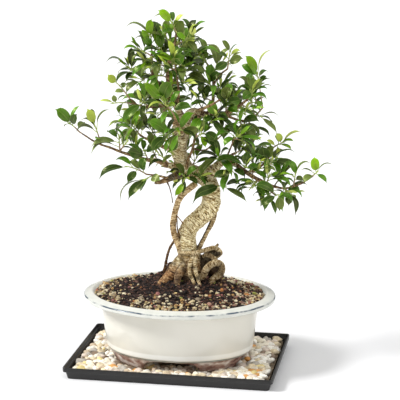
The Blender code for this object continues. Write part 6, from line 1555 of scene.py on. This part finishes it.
# Each row is where the twig leaves its limb, where it ends, how many leaves it has and their tones.
INNER_TWIGS = (
    ((-33, 386, 8), (-52, 372, 12), 4, "dmo"), ((-34, 408, 6.5), (-50, 416, 14), 4, "dmb"),
    ((-34, 410, 6), (-22, 424, 16), 4, "ddm"), ((-29, 377, 8.6), (-12, 366, 18), 3, "dmm"),
    ((-20, 366, 8), (-36, 356, 20), 4, "ddo"), ((-14, 394, -3), (-30, 398, -14), 4, "dmm"),
    ((-13, 400, -3), (4, 396, -14), 4, "dmo"), ((-12, 404, -3.5), (-24, 416, 4), 4, "ddm"),
    ((-7, 418, -4.5), (8, 420, 8), 4, "dmm"), ((-14, 380, -1), (-26, 384, -18), 4, "ddm"),
    ((-12, 368, 1), (-30, 364, -10), 3, "dmo"), ((-2, 380, -13), (10, 372, -20), 3, "ddm"),
    ((-3, 388, -15), (-16, 398, -24), 3, "dmb"), ((41, 390, 18.5), (26, 388, 26), 4, "ddm"),
    ((44, 378, 14), (28, 372, 22), 4, "ddo"), ((44, 366, 10), (60, 374, 20), 4, "ddm"),
    ((44, 386, 17), (52, 398, 26), 4, "dmo"), ((43, 350, 2), (28, 356, 14), 4, "ddm"),
    ((60, 335, -9), (70, 352, 4), 4, "ddo"), ((70, 339, -11), (84, 334, 0), 3, "dmo"),
    ((79, 346, -13), (90, 340, -24), 3, "dmm"), ((97, 331, 21), (92, 352, 32), 4, "ddm"),
    ((88, 326, 16), (96, 312, 26), 3, "ddo"), ((104, 338, 24.5), (92, 366, 32), 5, "ddm"),
    ((-38, 343, -12), (-54, 336, -4), 4, "ddm"), ((-20, 344, -5), (-32, 350, 8), 4, "ddo"),
    ((-12, 343, -2), (-26, 332, -18), 4, "dmm"), ((-28, 300, 17), (-38, 318, 28), 4, "ddm"),
    ((-12, 299, 10), (-24, 312, 22), 4, "ddm"), ((-28, 273, -11), (-36, 290, 2), 4, "ddm"),
    ((-12, 267, -6), (-24, 280, -20), 4, "dmo"), ((-52, 277, -15), (-60, 292, -4), 3, "ddm"),
    ((-76, 285, -19), (-66, 298, -30), 3, "dmm"),
    ((62, 313, 0), (74, 308, 10), 4, "ddm"),
    ((71, 302, -24), (86, 296, -14), 4, "ddm"), ((100, 262, -8), (90, 276, 4), 4, "ddo"),
    ((110, 270, 3), (124, 266, 14), 4, "ddm"), ((69, 270, -17), (78, 282, -4), 3, "ddm"),
    ((92, 254, -22), (104, 262, -34), 3, "dmo"), ((103, 248, -24), (92, 236, -12), 3, "ddm"),
    ((123, 239, -26), (116, 224, -18), 4, "ddm"), ((136, 236.5, -27), (146, 226, -18), 3, "dmo"),
    ((123, 239, -26), (132, 252, -16), 4, "ddm"), ((14, 259, 3), (26, 252, -14), 3, "dmm"),
    ((2.5, 275, 2), (-12, 284, -12), 3, "dmo"), ((33, 334, -6), (24, 350, -18), 3, "dmm"),
    ((46, 334, -8), (54, 322, 4), 4, "ddm"), ((7, 320, 0), (-6, 330, 14), 3, "ddo"),
    ((-33, 386, 8), (-18, 392, 22), 4, "mdb"), ((-34, 408, 6.5), (-20, 404, 20), 4, "mdb"),
    ((-13, 400, -3), (-2, 410, 10), 4, "mdb"), ((-14, 394, -3), (0, 386, 12), 4, "mmb"),
    ((-29, 377, 8.6), (-44, 386, 22), 4, "dmb"), ((-20, 366, 8), (-6, 352, 22), 4, "mdb"),
    ((-7, 418, -4.5), (-16, 432, 4), 4, "mdb"), ((-38, 343, -12), (-24, 356, 0), 4, "dmk"),
    ((-20, 344, -5), (-8, 354, 14), 4, "dmb"), ((-2, 380, -13), (12, 392, 0), 4, "dmb"),
    ((14, 259, 3), (23, 277, 22), 3, "mby"), ((2.5, 275, 2), (-8, 263, 20), 3, "mby"),
    ((7, 320, 0), (20, 306, 18), 3, "mdb"), ((14, 259, 3), (1, 247, 18), 3, "mby"),
    ((2.5, 275, 2), (12, 290, 20), 3, "mby"),
)

foliage = Foliage()
draws = random.Random(41)
for anchor, end, count, tones in INNER_TWIGS:
    route = foliage.twig(anchor, end, 7)
    foliage.more_leaves(route, count, tones + "ok", 36, 0.3)
    foliage.spear(route)
    foliage.spear(route[:-4])
    foliage.bud(route, draws.uniform(4, 7) * MM)
on_frame(foliage.piece("leaves_inside"), "leaf")
